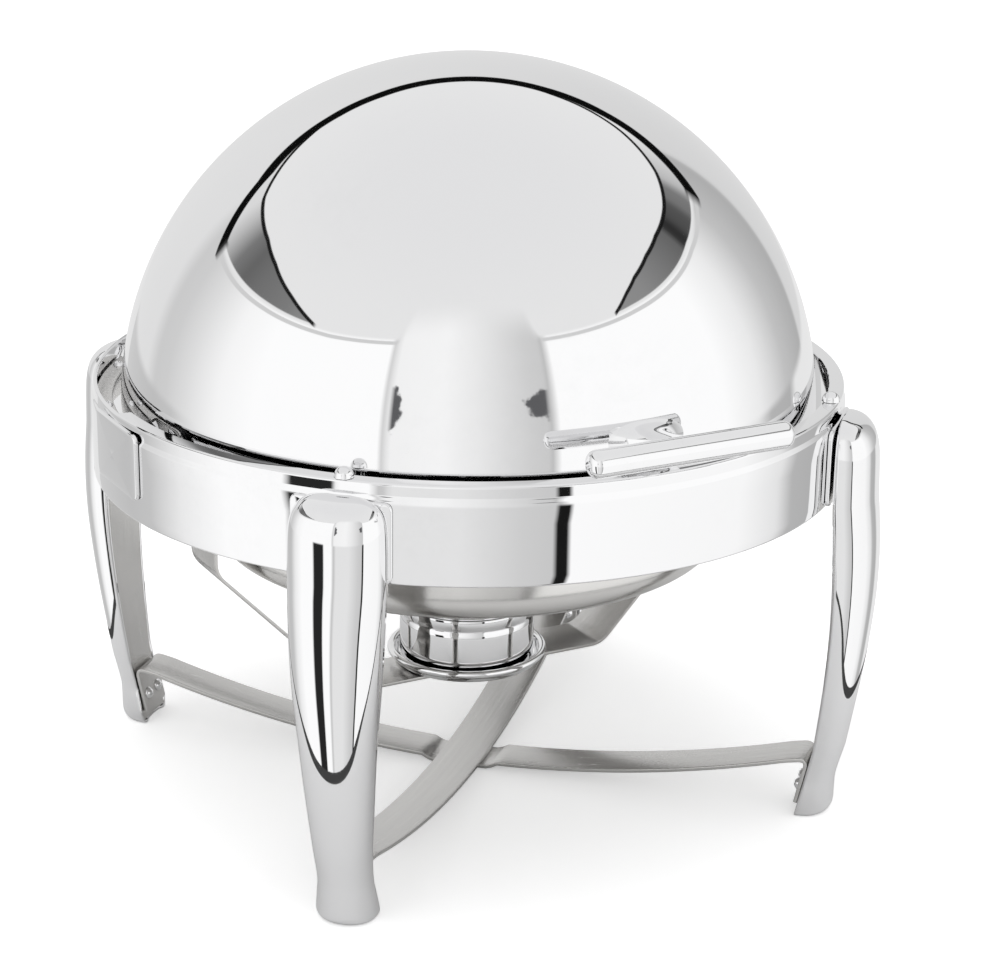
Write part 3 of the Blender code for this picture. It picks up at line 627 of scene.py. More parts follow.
def polished_finish(name, waviness, marks, mark_size):
    """Mirror-polished steel: slightly wavy, with faint smears that soften and dull it."""
    settings = bpy.context.scene.chafer_finish
    made, shader, w = new_finish(name)
    place_on = w.node("ShaderNodeTexCoord").outputs["Object"]
    smears = w.grouped(handling_marks(), vector=place_on, size=mark_size, amount=marks)
    clean = (*settings.polished, 1)
    dull = (*(v * 0.93 for v in settings.polished), 1)
    w.feed(shader.inputs["Base Color"], w.mixed(smears["Mask"], clean, dull))
    low = settings.polished_roughness
    w.feed(shader.inputs["Roughness"], w.math("MULTIPLY_ADD", smears["Mask"], 0.07, low))
    ripple = w.noise(place_on, 22.0, 1.0, 0.4)
    w.feed(shader.inputs["Normal"], w.bump(ripple, 1.0, waviness))
    shader.inputs["Metallic"].default_value = 1.0
    made.diffuse_color = clean


def satin_finish(name, lie, fineness=1400.0, streak=18.0, tone=1.0, blur=0.0):
    """Brushed steel whose scratches follow the sheet.

    lie says how they run: "grain" reads the piece's own lengthwise attribute, "spun" runs them in
    circles about the upright through the hinge centre, and "level" runs them from side to side.
    """
    settings = bpy.context.scene.chafer_finish
    made, shader, w = new_finish(name)
    place_on = w.node("ShaderNodeTexCoord").outputs["Object"]
    vector = place_on
    if lie == "grain":
        vector = w.node("ShaderNodeAttribute", attribute_name="grain").outputs["Vector"]
    elif lie == "spun":
        parts = w.node("ShaderNodeSeparateXYZ")
        w.feed(parts.inputs[0], w.moved(place_on, tuple(-HINGE)))
        x, y, z = parts.outputs
        far = w.math("SQRT", w.math("ADD", w.math("MULTIPLY", x, x), w.math("MULTIPLY", y, y)))
        polar_place = w.node("ShaderNodeCombineXYZ")
        round_it = w.math("MULTIPLY", w.math("ARCTAN2", y, x), 0.05)
        w.feed(polar_place.inputs[0], round_it)
        w.feed(polar_place.inputs[1], w.math("SUBTRACT", far, z))
        vector = polar_place.outputs[0]
    grain = w.grouped(brushed_grain(), vector=vector, fineness=fineness, streak=streak)
    smears = w.grouped(handling_marks(), vector=place_on, size=14.0, amount=0.5)
    base = tuple(v * tone for v in settings.satin)
    light = (*(min(v * 1.1, 1) for v in base), 1)
    dark = (*(v * 0.82 for v in base), 1)
    brushed = w.mixed(grain["Tone"], dark, light)
    worn = w.mixed(smears["Mask"], brushed, (*(v * 0.86 for v in base), 1))
    w.feed(shader.inputs["Base Color"], worn)
    low = settings.satin_roughness + blur
    rough = w.math("MULTIPLY_ADD", grain["Tone"], 0.14, low - 0.07)
    w.feed(shader.inputs["Roughness"], w.math("MULTIPLY_ADD", smears["Mask"], 0.06, rough))
    w.feed(shader.inputs["Normal"], w.bump(grain["Height"], 0.6, SCRATCH_DEPTH))
    shader.inputs["Metallic"].default_value = 1.0
    made.diffuse_color = (*base, 1)


def nylon_finish(name):
    """Moulded nylon with a fine grained skin."""
    settings = bpy.context.scene.chafer_finish
    made, shader, w = new_finish(name)
    place_on = w.node("ShaderNodeTexCoord").outputs["Object"]
    pebble = w.noise(place_on, 1800.0, 3.0, 0.6)
    plain_nylon = (*settings.nylon, 1)
    light = (*(v * 1.5 for v in settings.nylon), 1)
    w.feed(shader.inputs["Base Color"], w.mixed(pebble, plain_nylon, light))
    w.feed(shader.inputs["Roughness"], w.ranged(pebble, 0.2, 0.8, 0.42, 0.6))
    w.feed(shader.inputs["Normal"], w.bump(pebble, 0.5, PEBBLE_DEPTH))
    made.diffuse_color = plain_nylon


# Each finish: its slot in the record, the function that makes it and what that is told. For
# polish that is the waviness in metres, the amount of smears and their fineness, and for satin
# the way the scratches run, their fineness and streak, a tone and a blur.
FINISHES = {
    "lid_polish": ("polished_steel", polished_finish, (0.000012, 0.35, 7.0)),
    "ring_polish": ("polished_steel", polished_finish, (0.00002, 0.4, 10.0)),
    "leg_polish": ("polished_steel", polished_finish, (0.00004, 0.4, 14.0)),
    "small_polish": ("polished_steel", polished_finish, (0.00001, 0.6, 60.0)),
    "dish_polish": ("satin_steel", polished_finish, (0.00002, 0.6, 40.0)),
    "sheet_satin": ("satin_steel", satin_finish, ("grain",)),
    "spun_satin": ("satin_steel", satin_finish, ("spun", 1600.0, 10.0, 1.12, -0.07)),
    "bracket_satin": ("satin_steel", satin_finish, ("level", 1200.0, 60.0, 1.06, 0.03)),
    "nylon_bush": ("nylon", nylon_finish, ()),
}


def finish(name):
    """The material of that name, made when it is first asked for."""
    if name not in bpy.data.materials:
        slot, make, told = FINISHES[name]
        make(name, *told)
    return bpy.data.materials[name]


def carry_over(names, finish_name):
    """Give CAD nodes that stay in view their finish."""
    for name in names:
        mesh = frame["nodes"][name].data
        mesh.materials.clear()
        mesh.materials.append(finish(finish_name))


# Pieces


def make_dome(size):
    """The lid's sheet: sphere outside, straight skirt, rolled bead, and the sphere inside."""
    r = size.radius
    inner = r - size.wall
    profile = np.vstack([
        [(0, r)],
        arc((0, 0), r, 89, 0, 88),
        [(r, -size.skirt * 0.5)],
        arc((r + 0.2 * MM, -size.skirt), size.bead, 100, -215, 24),
        [(inner, -size.skirt * 0.6)],
        arc((0, 0), inner, 0, 88, 40),
        [(0, inner)],
    ])
    dome = place("dome_shell", "dome", at_hinge(spun(profile, 192)), "lid_polish", "lid", 50)
    front = np.array([0, -math.cos(size.handle_tilt), math.sin(size.handle_tilt)])
    for_pins = (HINGE, (1, 0, 0), 6.3 * MM, 2 * r + 20 * MM)
    for_handle = (HINGE + front * r, front, 2.8 * MM, 12 * MM)
    bored(dome, [for_pins, for_handle])


def make_handle(size):
    """A round bar with an end disc at each end, on a stem that flares onto the lid."""
    end = size.bar_half
    r = size.bar_radius
    curve = 5.5 * MM
    disc = r - curve
    step = disc + 0.2 * MM
    shoulder = end - 0.5 * MM
    corner = arc((disc, shoulder - curve), curve, 84, 0, 14)
    half = [(0, end), (disc, end), (step, end - 0.2 * MM), (step, shoulder)]
    half = np.vstack([half, corner, [(r, end * 0.5), (r, 0)]])
    profile = np.vstack([half, (half * (1, -1))[::-1][1:]])
    bar = stood(spun(profile, 64), (0, -size.handle_reach, 0), (1, 0, 0))
    # The stem's root bends back with the lid: y = -sqrt(reach^2 - x^2 - z^2) close to it.
    reach, across, up = (smooth_rows(STEM_SECTIONS, 6) * MM).T[..., None]
    t = np.linspace(0, 2 * np.pi, 56, endpoint=False)
    x = across * np.sign(np.cos(t)) * np.abs(np.cos(t)) ** 0.85
    z = up * np.sign(np.sin(t)) * np.abs(np.sin(t)) ** 0.85
    close = np.clip((215 * MM - reach) / (12 * MM), 0, 1)
    y = -(close * np.sqrt(np.maximum(reach**2 - x**2 - z**2, 0)) + (1 - close) * reach)
    stem = tube(np.stack([x, y, z], -1))
    inside = size.radius - size.wall - 0.2 * MM
    screw = stood(screw_head("handle"), (0, -inside, 0), (0, 1, 0))
    for name, node, shape, sharp in (
        ("handle_grip", "handle_bar", bar, 38),
        ("handle_neck", "handle_stem", stem, 60),
        ("handle_fixing", "handle_screw", screw, 38),
    ):
        place(name, node, tilted(shape, size.handle_tilt), "small_polish", "lid", sharp)


def make_ring(size):
    """The ring's wall with its lip and foot.

    The profile's inner edge stands at the flange's radius on the front half and at the lip's on
    the rear half, so that the lid can pass.
    """
    r, t, top, foot = size.radius, size.wall, size.top, size.foot
    lip = r - 1.2 * MM
    crease = 12.3 * MM
    outside = np.vstack([
        arc((lip - 1.6 * MM, top - 1.6 * MM), 1.6 * MM, 90, 0, 6),
        [(lip + 0.05 * MM, crease + 2.2 * MM), (lip + 0.25 * MM, crease + 0.9 * MM)],
        [(r - 0.25 * MM, crease - 0.1 * MM), (r, crease - 1.2 * MM)],
        [(r, 0), (r, foot + 6 * MM)],
        arc((r - 1.4 * MM, foot + 1.4 * MM), 1.4 * MM, 0, -90, 6),
    ])
    inside = [
        (r - 5.2 * MM, foot), (r - 5.4 * MM, foot + 0.5 * t), (r - 5.2 * MM, foot + t),
        (r - t - 0.5 * MM, foot + t), (r - t, foot + t + 0.6 * MM), (r - t, crease - 2 * MM),
        (lip - t, crease + 1.5 * MM), (lip - t, top - t - 0.8 * MM), (lip - t - 0.8 * MM, top - t),
    ]
    fixed = np.vstack([outside, inside])
    gap = math.radians(0.12)
    even = np.linspace(-np.pi, np.pi, 193)[:-1] + np.pi / 192
    turns = np.sort(np.concatenate([even, [-gap, gap, np.pi - gap, gap - np.pi]]))
    # The front half lies at negative turns from +X.
    front = ((turns < 0) & (turns > -np.pi)).astype(float)
    flange = np.where(front > 0.5, size.flange, lip - t + 0.1 * MM)
    height = np.where(front > 0.5, top - t, top - t + 0.1 * MM)
    edge_r = np.stack([flange, flange - 0.3 * MM * front, flange])
    edge_z = np.stack([height, np.full_like(flange, top - t / 2), np.full_like(flange, top)])
    radius = np.vstack([fixed[:, :1] + 0 * turns, edge_r])
    z = np.vstack([fixed[:, 1:] + 0 * turns, edge_z])
    shape = skin(polar(radius, turns, z), close_rows=True, close_columns=True)
    place("ring", "band", at_hinge(shape), "ring_polish", sharp=32)


def make_studs(size):
    """A low domed stud on the flange above each front leg."""
    shank = 2.5 * MM
    profile = np.vstack([
        [(0, 5.6 * MM)], arc((0, 0.4 * MM), 5.2 * MM, 84, 4, 10),
        [(5.3 * MM, 0), (shank, -0.1 * MM), (shank, -6 * MM), (0, -6 * MM)],
    ])
    head = stood(spun(profile, 40), (STUD_AT, 0, size.top + 0.2 * MM), (0, 0, 1))
    for side in SIDES:
        shape = turned_to(head, CORNERS[f"front_{side}"])
        place(f"ring_stud_{side}", f"flange_stud_{side}", shape, "small_polish")


def ring_plate(size, half_turn, low, top):
    """A raised plate with rounded corners, bent to the outside of the ring."""
    half = math.radians(half_turn) * size.radius
    outline = softened([(-half, low), (half, low), (half, top), (-half, top)], 5 * MM, 6)
    rows = loop_rows(outline, 2 * MM, 1.2 * MM)
    r = size.radius + 0.35 * MM + rows[..., 2]
    return tube(polar(r, rows[..., 0] / size.radius, rows[..., 1]), domed=True)


def make_pads(size):
    """The plates between the ring and each leg, and those over the ends of the hinge axis."""
    pad = ring_plate(size, 7.25, -33.8 * MM, 11 * MM)
    for corner, azimuth in CORNERS.items():
        place(f"pad_{corner}", f"leg_pad_{corner}", turned_to(pad, azimuth), "ring_polish")
    cover = ring_plate(size, 8, -21 * MM, 16.7 * MM)
    for side, azimuth in SIDES.items():
        place(f"cover_{side}", f"hinge_cover_{side}", turned_to(cover, azimuth), "ring_polish")


def make_hinge(side, behind):
    """The plate, its two screws and the ear on one end of the hinge axis."""
    azimuth = SIDES[side]
    low, thick = 8 * MM, 2 * MM
    start, end = math.radians(5), math.radians(41)
    # Along the plate, u runs from one end to the other and v across; the far corner is rounded.
    u = np.linspace(0, 1, 41)[:, None]
    inner = HINGE_PLATE_INNER + np.clip((u - 0.86) / 0.14, 0, 1) ** 2.2 * 8.6 * MM
    turn = behind * (start + (end - start) * u)
    section = softened([(0, 0), (1, 0), (1, 1), (0, 1)], 0.16, 3)
    r = inner + (HINGE_PLATE_OUTER - inner) * section[:, 0]
    plate = tube(polar(r, turn, low + thick * section[:, 1]))
    foot, edge, top = 12.5 * MM, -13 * MM, low + 1.2 * MM
    corners = [(-foot, edge), (foot, edge), (25 * MM, low), (25 * MM, top), (-foot, top)]
    rows = loop_rows(softened(corners, 7 * MM, 6), thick, 0.5 * MM)
    grid = np.stack([HINGE_EAR_AT + rows[..., 2], behind * rows[..., 0], rows[..., 1]], -1)
    shape = turned_to(joined(plate, tube(grid, domed=True)), azimuth)
    place(f"hinge_leaf_{side}", f"hinge_plate_{side}", shape, "bracket_satin")
    for end_name, degrees in (("front", 14), ("rear", 36)):
        t = behind * math.radians(degrees)
        seat = polar(HINGE_SCREWS_AT, t, low + thick + 0.2 * MM)
        ending = f"{side}_{end_name}"
        fasten(f"leaf_screw_{ending}", f"hinge_screw_{ending}", "hinge", seat, (0, 0, 1), azimuth)


def make_pivot(side):
    """The pin's round head, its nut and the bush in the lid."""
    seat = (PIN_HEAD_AT, 0, 0)
    fasten(f"axle_{side}", f"pivot_pin_{side}", "pivot", seat, (1, 0, 0), SIDES[side])
    carry_over([f"pivot_nut_{side}"], "small_polish")
    outline = [(8.5, 2.9), (8.5, 0), (6, 0), (6, -6.1), (4.3, -6.1), (4.3, 2.9)]
    bush = stood(spun(softened(outline, 0.4, 3) * MM, 48), (BUSH_AT, 0, 0), (1, 0, 0))
    place(f"bush_{side}", f"pivot_bush_{side}", turned_to(bush, SIDES[side]), "nylon_bush", "lid")


def make_pans(size):
    """Two nested pans: flat rims, rounded floors and, on the water pan, an upturned edge."""
    wall = size.wall
    low = -6.7 * MM
    rim = 183 * MM
    r = size.water_radius
    bend = size.water_bend
    outer = bowl(r, bend, size.water_floor, size.water_flat, 4.2)
    inner = bowl(r - wall, bend, size.water_floor + wall, size.water_flat, 4.2)
    bend += 2 * MM
    inside = [(r - wall, bend), (r - wall, low + wall), (rim, low + wall), (rim, 2.4 * MM)]
    outside = [(rim + wall, 1.5 * MM), (rim + wall, low), (r, low), (r, bend)]
    profile = np.vstack([
        [(0, size.water_floor + wall)],
        inner[::-1],
        softened(inside, 3 * MM, 5, False),
        arc((rim + wall / 2, 2.4 * MM), wall / 2, 180, 0, 6),
        softened(outside, 3 * MM, 5, False),
        outer,
        [(0, size.water_floor)],
    ])
    shape = at_hinge(spun(profile, 160))
    place("water_vessel", "water_pan", shape, "spun_satin", "water_pan", 50)

    r = size.food_radius
    low = -5.4 * MM
    rim = 179.4 * MM
    bend = size.food_floor + 22 * MM
    outer = bowl(r, bend, size.food_floor, r - 22 * MM, 2)
    inner = bowl(r - wall, bend, size.food_floor + wall, r - 22 * MM, 2)
    bend += 2 * MM
    inside = [(r - wall, bend), (r - wall, low + wall), (rim, low + wall)]
    profile = np.vstack([
        [(0, size.food_floor + wall)],
        inner[::-1],
        softened(inside, 3 * MM, 6, False),
        arc((rim, low + wall / 2), wall / 2, 90, -90, 6),
        softened([(178 * MM, low), (r, low), (r, bend)], 3 * MM, 6, False),
        outer,
        [(0, size.food_floor)],
    ])
    shape = at_hinge(spun(profile, 160))
    place("food_vessel", "food_pan", shape, "spun_satin", "food_pan", 50)


def path_grain(shape, path):
    """For every point of a strap: how far along its path it lies, and how far across."""
    points = shape[0]
    path = np.asarray(path, float)
    steps = np.concatenate([[0], np.cumsum(np.linalg.norm(np.diff(path, axis=0), axis=1))])
    away = np.linalg.norm(points[:, None, [0, 2]] - path[None], axis=2)
    along = steps[np.argmin(away, axis=1)]
    return np.stack([along, points[:, 1], points[:, 2] * 0.2], -1)


def make_burner(size):
    """A bent strap under the pans, a dish on it, and the fuel cup with its cover."""
    half = 85.5 * MM
    tab = BURNER_TAB_AT
    low = size.strap_top - 1 * MM
    right = np.array([(half, low), (tab, -77 * MM), (tab, -20 * MM)])
    path = softened(np.vstack([right[::-1], right * (-1, 1)]), 7 * MM, 8, False)
    path = np.vstack([np.linspace(a, b, 4)[:-1] for a, b in zip(path, path[1:])] + [path[-1:]])
    shape = strap(path, size.strap_width, 2 * MM)
    grain = path_grain(shape, path)
    shape = at_hinge(shape)
    place("burner_bar", "burner_strap", shape, "sheet_satin", sharp=50, grain=grain)
    seat = (BURNER_SCREW_AT, 0, -34 * MM)
    for side, azimuth in SIDES.items():
        name = f"burner_screw_{side}"
        fasten(f"bar_screw_{side}", name, "burner", seat, (1, 0, 0), azimuth)

    floor = size.strap_top + 0.3 * MM
    lining = floor + MM
    r = size.dish_radius
    inside = [(r - 13 * MM, lining), (r - 6 * MM, lining), (r - 4.4 * MM, floor + 5 * MM)]
    outside = [(r - 3.2 * MM, floor + 3 * MM), (r - 4.6 * MM, floor), (r - 12 * MM, floor)]
    profile = np.vstack([
        [(0, lining), (r * 0.4, lining)],
        softened(inside, 2.5 * MM, 5, False),
        arc((r - 2.3 * MM, floor + 6.2 * MM), 2.3 * MM, 165, -75, 14),
        softened(outside, 2.5 * MM, 5, False),
        [(r * 0.4, floor), (0, floor)],
    ])
    place("cup_dish", "burner_dish", at_hinge(spun(profile, 96)), "dish_polish", sharp=45)

    base = floor + 1.3 * MM
    lining = base + MM
    r = size.cup_radius
    groove = r - 0.3 * MM
    top = size.cup_top
    profile = np.vstack([
        [(0, lining)],
        softened([(r - 8 * MM, lining), (r - MM, lining), (r - MM, top)], 2.4 * MM, 6, False),
        arc((r - 0.5 * MM, top - 0.5 * MM), 0.5 * MM, 90, 0, 4),
        [(r, top - 6 * MM), (groove, top - 6.6 * MM), (groove, top - 8 * MM), (r, top - 8.6 * MM)],
        softened([(r, top - 12 * MM), (r, base), (r - 6 * MM, base)], 2.6 * MM, 6, False),
        [(0, base)],
    ])
    place("fuel_holder", "fuel_cup", at_hinge(spun(profile, 96)), "small_polish", "fuel_cup", 40)

    low = top + 0.3 * MM
    lip = r - 1.5 * MM
    hole = 14 * MM
    corners = [
        (hole, low + 1.2 * MM), (r, low + 1.2 * MM), (r, low), (lip, low), (lip, low - 5 * MM),
        (lip - MM, low - 5 * MM), (lip - MM, low), (hole, low),
    ]
    shape = at_hinge(spun(softened(corners, 0.5 * MM, 4), 96))
    place("holder_cover", "fuel_cup_cover", shape, "small_polish", "fuel_cup_cover")


def leg_back_x(z, back):
    """How far out a leg's flat back stands: straight at the top, bowed, then the foot's slant."""
    down = np.clip((z - STRAIGHT_TO) / (ANKLE - STRAIGHT_TO), 0, 1)
    bowed = back + (ANKLE_AT - back) * down**1.6 + LEG_BOW * np.sin(np.pi * down)
    return np.where(z < ANKLE, ANKLE_AT - FOOT_SLANT * (ANKLE - z), bowed)


# A leg's sections, in mm: height, depth in front of the back, and half the width.
LEG_SECTIONS = [
    (14.4, 0.6, 5.0), (13.6, 5.0, 12.6), (11.4, 11.4, 18.8), (7.6, 15.8, 22.8),
    (2, 18.8, 25.3), (-8, 20.8, 26.7), (-30, 21.8, 27.0), (-60, 22.8, 26.0),
    (-90, 22.2, 24.4), (-125, 20.2, 21.4), (-160, 18.2, 18.8), (-190, 16.8, 16.4),
    (-208, 16.0, 15.6), (-216.5, 17.0, 16.4), (-225.5, 18.8, 17.4), (-229.3, 18.9, 17.5),
    (-232.3, 17.5, 16.4), (-233.8, 15.0, 14.6), (-234, 11.6, 13.1), (-234, 2.0, 10.8),
]


def leg_shell(size):
    """A leg's sheet: at each height a D-shaped section, open behind.

    A point is back + depth cos(t)^0.75 out and half sin(t) across, t from -90 to 90 degrees.
    """
    height, depth, half = (smooth_rows(LEG_SECTIONS, 7) * MM).T[..., None]
    z = np.maximum(height, FLOOR)
    t = np.linspace(-np.pi / 2, np.pi / 2, 57)
    x = leg_back_x(z, size.back) + depth * np.maximum(np.cos(t), 0) ** 0.75
    grid = np.stack(np.broadcast_arrays(x, half * np.sin(t), z), -1)
    points = grid.reshape(-1, 3)
    faces = grid_faces(*grid.shape[:2])
    a, b, c = points[np.array(faces)[:, :3]].transpose(1, 0, 2)
    if np.cross(b - a, c - a)[:, 0].sum() < 0:
        faces = [face[::-1] for face in faces]
    return points, faces


def leg_strip(size):
    """The strip behind a leg: a thin rectangle as wide as the leg inside, at each height."""
    rows = smooth_rows(LEG_SECTIONS, 7) * MM
    rows = rows[(rows[:, 0] < 6 * MM) & (rows[:, 0] > FLOOR + 2.4 * MM)]
    z = rows[:, :1]
    half = rows[:, 2:] - size.wall - 0.7 * MM
    section = softened([(-1, 0), (1, 0), (1, 1), (-1, 1)], 0.02, 2)
    x = leg_back_x(z, size.back) + 0.3 * MM + section[:, 1] * 1.5 * MM
    return tube(np.stack(np.broadcast_arrays(x, half * section[:, 0], z), -1))


def make_legs(size):
    """The legs' shells, the strips behind them and the bolts inside the ring."""
    shell = leg_shell(size)
    strip = leg_strip(size)
    grain = strip[0][:, ::-1] * (1, 1, 0.2)
    seat = (LEG_BOLT_AT, 0, -11 * MM)
    for corner, azimuth in CORNERS.items():
        shape = turned_to(shell, azimuth)
        leg = place(f"leg_cover_{corner}", f"leg_{corner}", shape, "leg_polish", sharp=45)
        walled(leg, size.wall)
        name = f"leg_strip_{corner}"
        shape = turned_to(strip, azimuth)
        place(name, f"leg_back_{corner}", shape, "sheet_satin", sharp=45, grain=grain)
        fasten(f"ring_bolt_{corner}", f"leg_bolt_{corner}", "leg", seat, (-1, 0, 0), azimuth)


def strap_path(size, dip):
    """A bow, z = middle + rise (s / span)^2, with a tab down the leg's back at each end.

    dip lowers the middle so that the strap passes under the other one.
    """
    s = np.linspace(0, 203 * MM, 60)
    z = STRAP_MIDDLE + STRAP_RISE * (s / STRAP_SPAN) ** 2
    z = z - dip * 0.5 * (1 + np.tanh((21 * MM - s) / (1.2 * MM)))
    offset = (size.strap_thickness / 2 + 0.3 * MM) * math.hypot(1, FOOT_SLANT)
    z_tab = np.array(STRAP_TABS) * MM
    tab = np.stack([leg_back_x(z_tab, size.back) - offset, z_tab], -1)
    half = np.vstack([np.stack([s, z], -1)[1:], tab])
    half = np.vstack([half[:-4], softened(half[-4:], 6 * MM, 8, False)])
    return np.vstack([(half * (-1, 1))[::-1], [(0, z[0])], half])


def make_cross_straps(size):
    """Two bowed straps that cross under the burner, with two screws at each foot."""
    dip = size.strap_thickness + 0.3 * MM
    for name, corner, amount in (("upper", "front_left", 0.0), ("lower", "front_right", dip)):
        path = strap_path(size, amount)
        shape = strap(path, size.strap_width, size.strap_thickness, 0.6 * MM)
        grain = path_grain(shape, path)
        shape = turned_to(shape, CORNERS[corner])
        node = f"cross_strap_{name}"
        place(f"brace_{name}", node, shape, "sheet_satin", sharp=50, grain=grain)
    z = FOOT_SCREWS_AT
    x = float(leg_back_x(z, size.back)) - size.strap_thickness - 0.6 * MM
    inward = np.array([-1, 0, FOOT_SLANT])
    for corner, azimuth in CORNERS.items():
        for side, y in (("left", -7 * MM), ("right", 7 * MM)):
            ending = f"{corner}_{side}"
            seat = (x, y, z)
            fasten(f"brace_screw_{ending}", f"foot_screw_{ending}", "foot", seat, inward, azimuth)


# Studio


def sky_angles(w):
    """Azimuth from the front, from -180 to 180, and elevation of a direction, in degrees."""
    direction = w.node("ShaderNodeTexCoord").outputs["Generated"]
    parts = w.node("ShaderNodeSeparateXYZ")
    w.feed(parts.inputs[0], direction)
    x, y, z = parts.outputs
    azimuth = w.math("DEGREES", w.math("ARCTAN2", x, w.math("MULTIPLY", y, -1.0)))
    elevation = w.math("DEGREES", w.math("ARCSINE", z))
    return azimuth, elevation


def ramp(w, value, stops):
    """A grey ramp over -180 to 180, its stops (degrees, brightness)."""
    made = w.node("ShaderNodeValToRGB")
    share_of = w.math("MULTIPLY_ADD", value, 1 / 360, 0.5)
    w.feed(made.inputs[0], share_of)
    points = made.color_ramp.elements
    while len(points) < len(stops):
        points.new(0.5)
    for point, (degrees, grey) in zip(points, stops):
        point.position = degrees / 360 + 0.5
        point.color = (grey, grey, grey, 1)
    return made.outputs[0]


def soft_mark(w, azimuth, elevation, centre, reach):
    """One inside a ragged ellipse about a direction and nothing outside it, fading at the edge."""
    across = w.math("DIVIDE", w.math("SUBTRACT", azimuth, centre[0]), reach[0])
    up = w.math("DIVIDE", w.math("SUBTRACT", elevation, centre[1]), reach[1])
    far = w.math("ADD", w.math("MULTIPLY", across, across), w.math("MULTIPLY", up, up))
    direction = w.node("ShaderNodeTexCoord").outputs["Generated"]
    ragged = w.math("MULTIPLY_ADD", w.noise(direction, 14.0, 3.0, 0.6), 2.0, -1.0)
    return w.ranged(w.math("ADD", far, ragged), 0.85, 0.5)


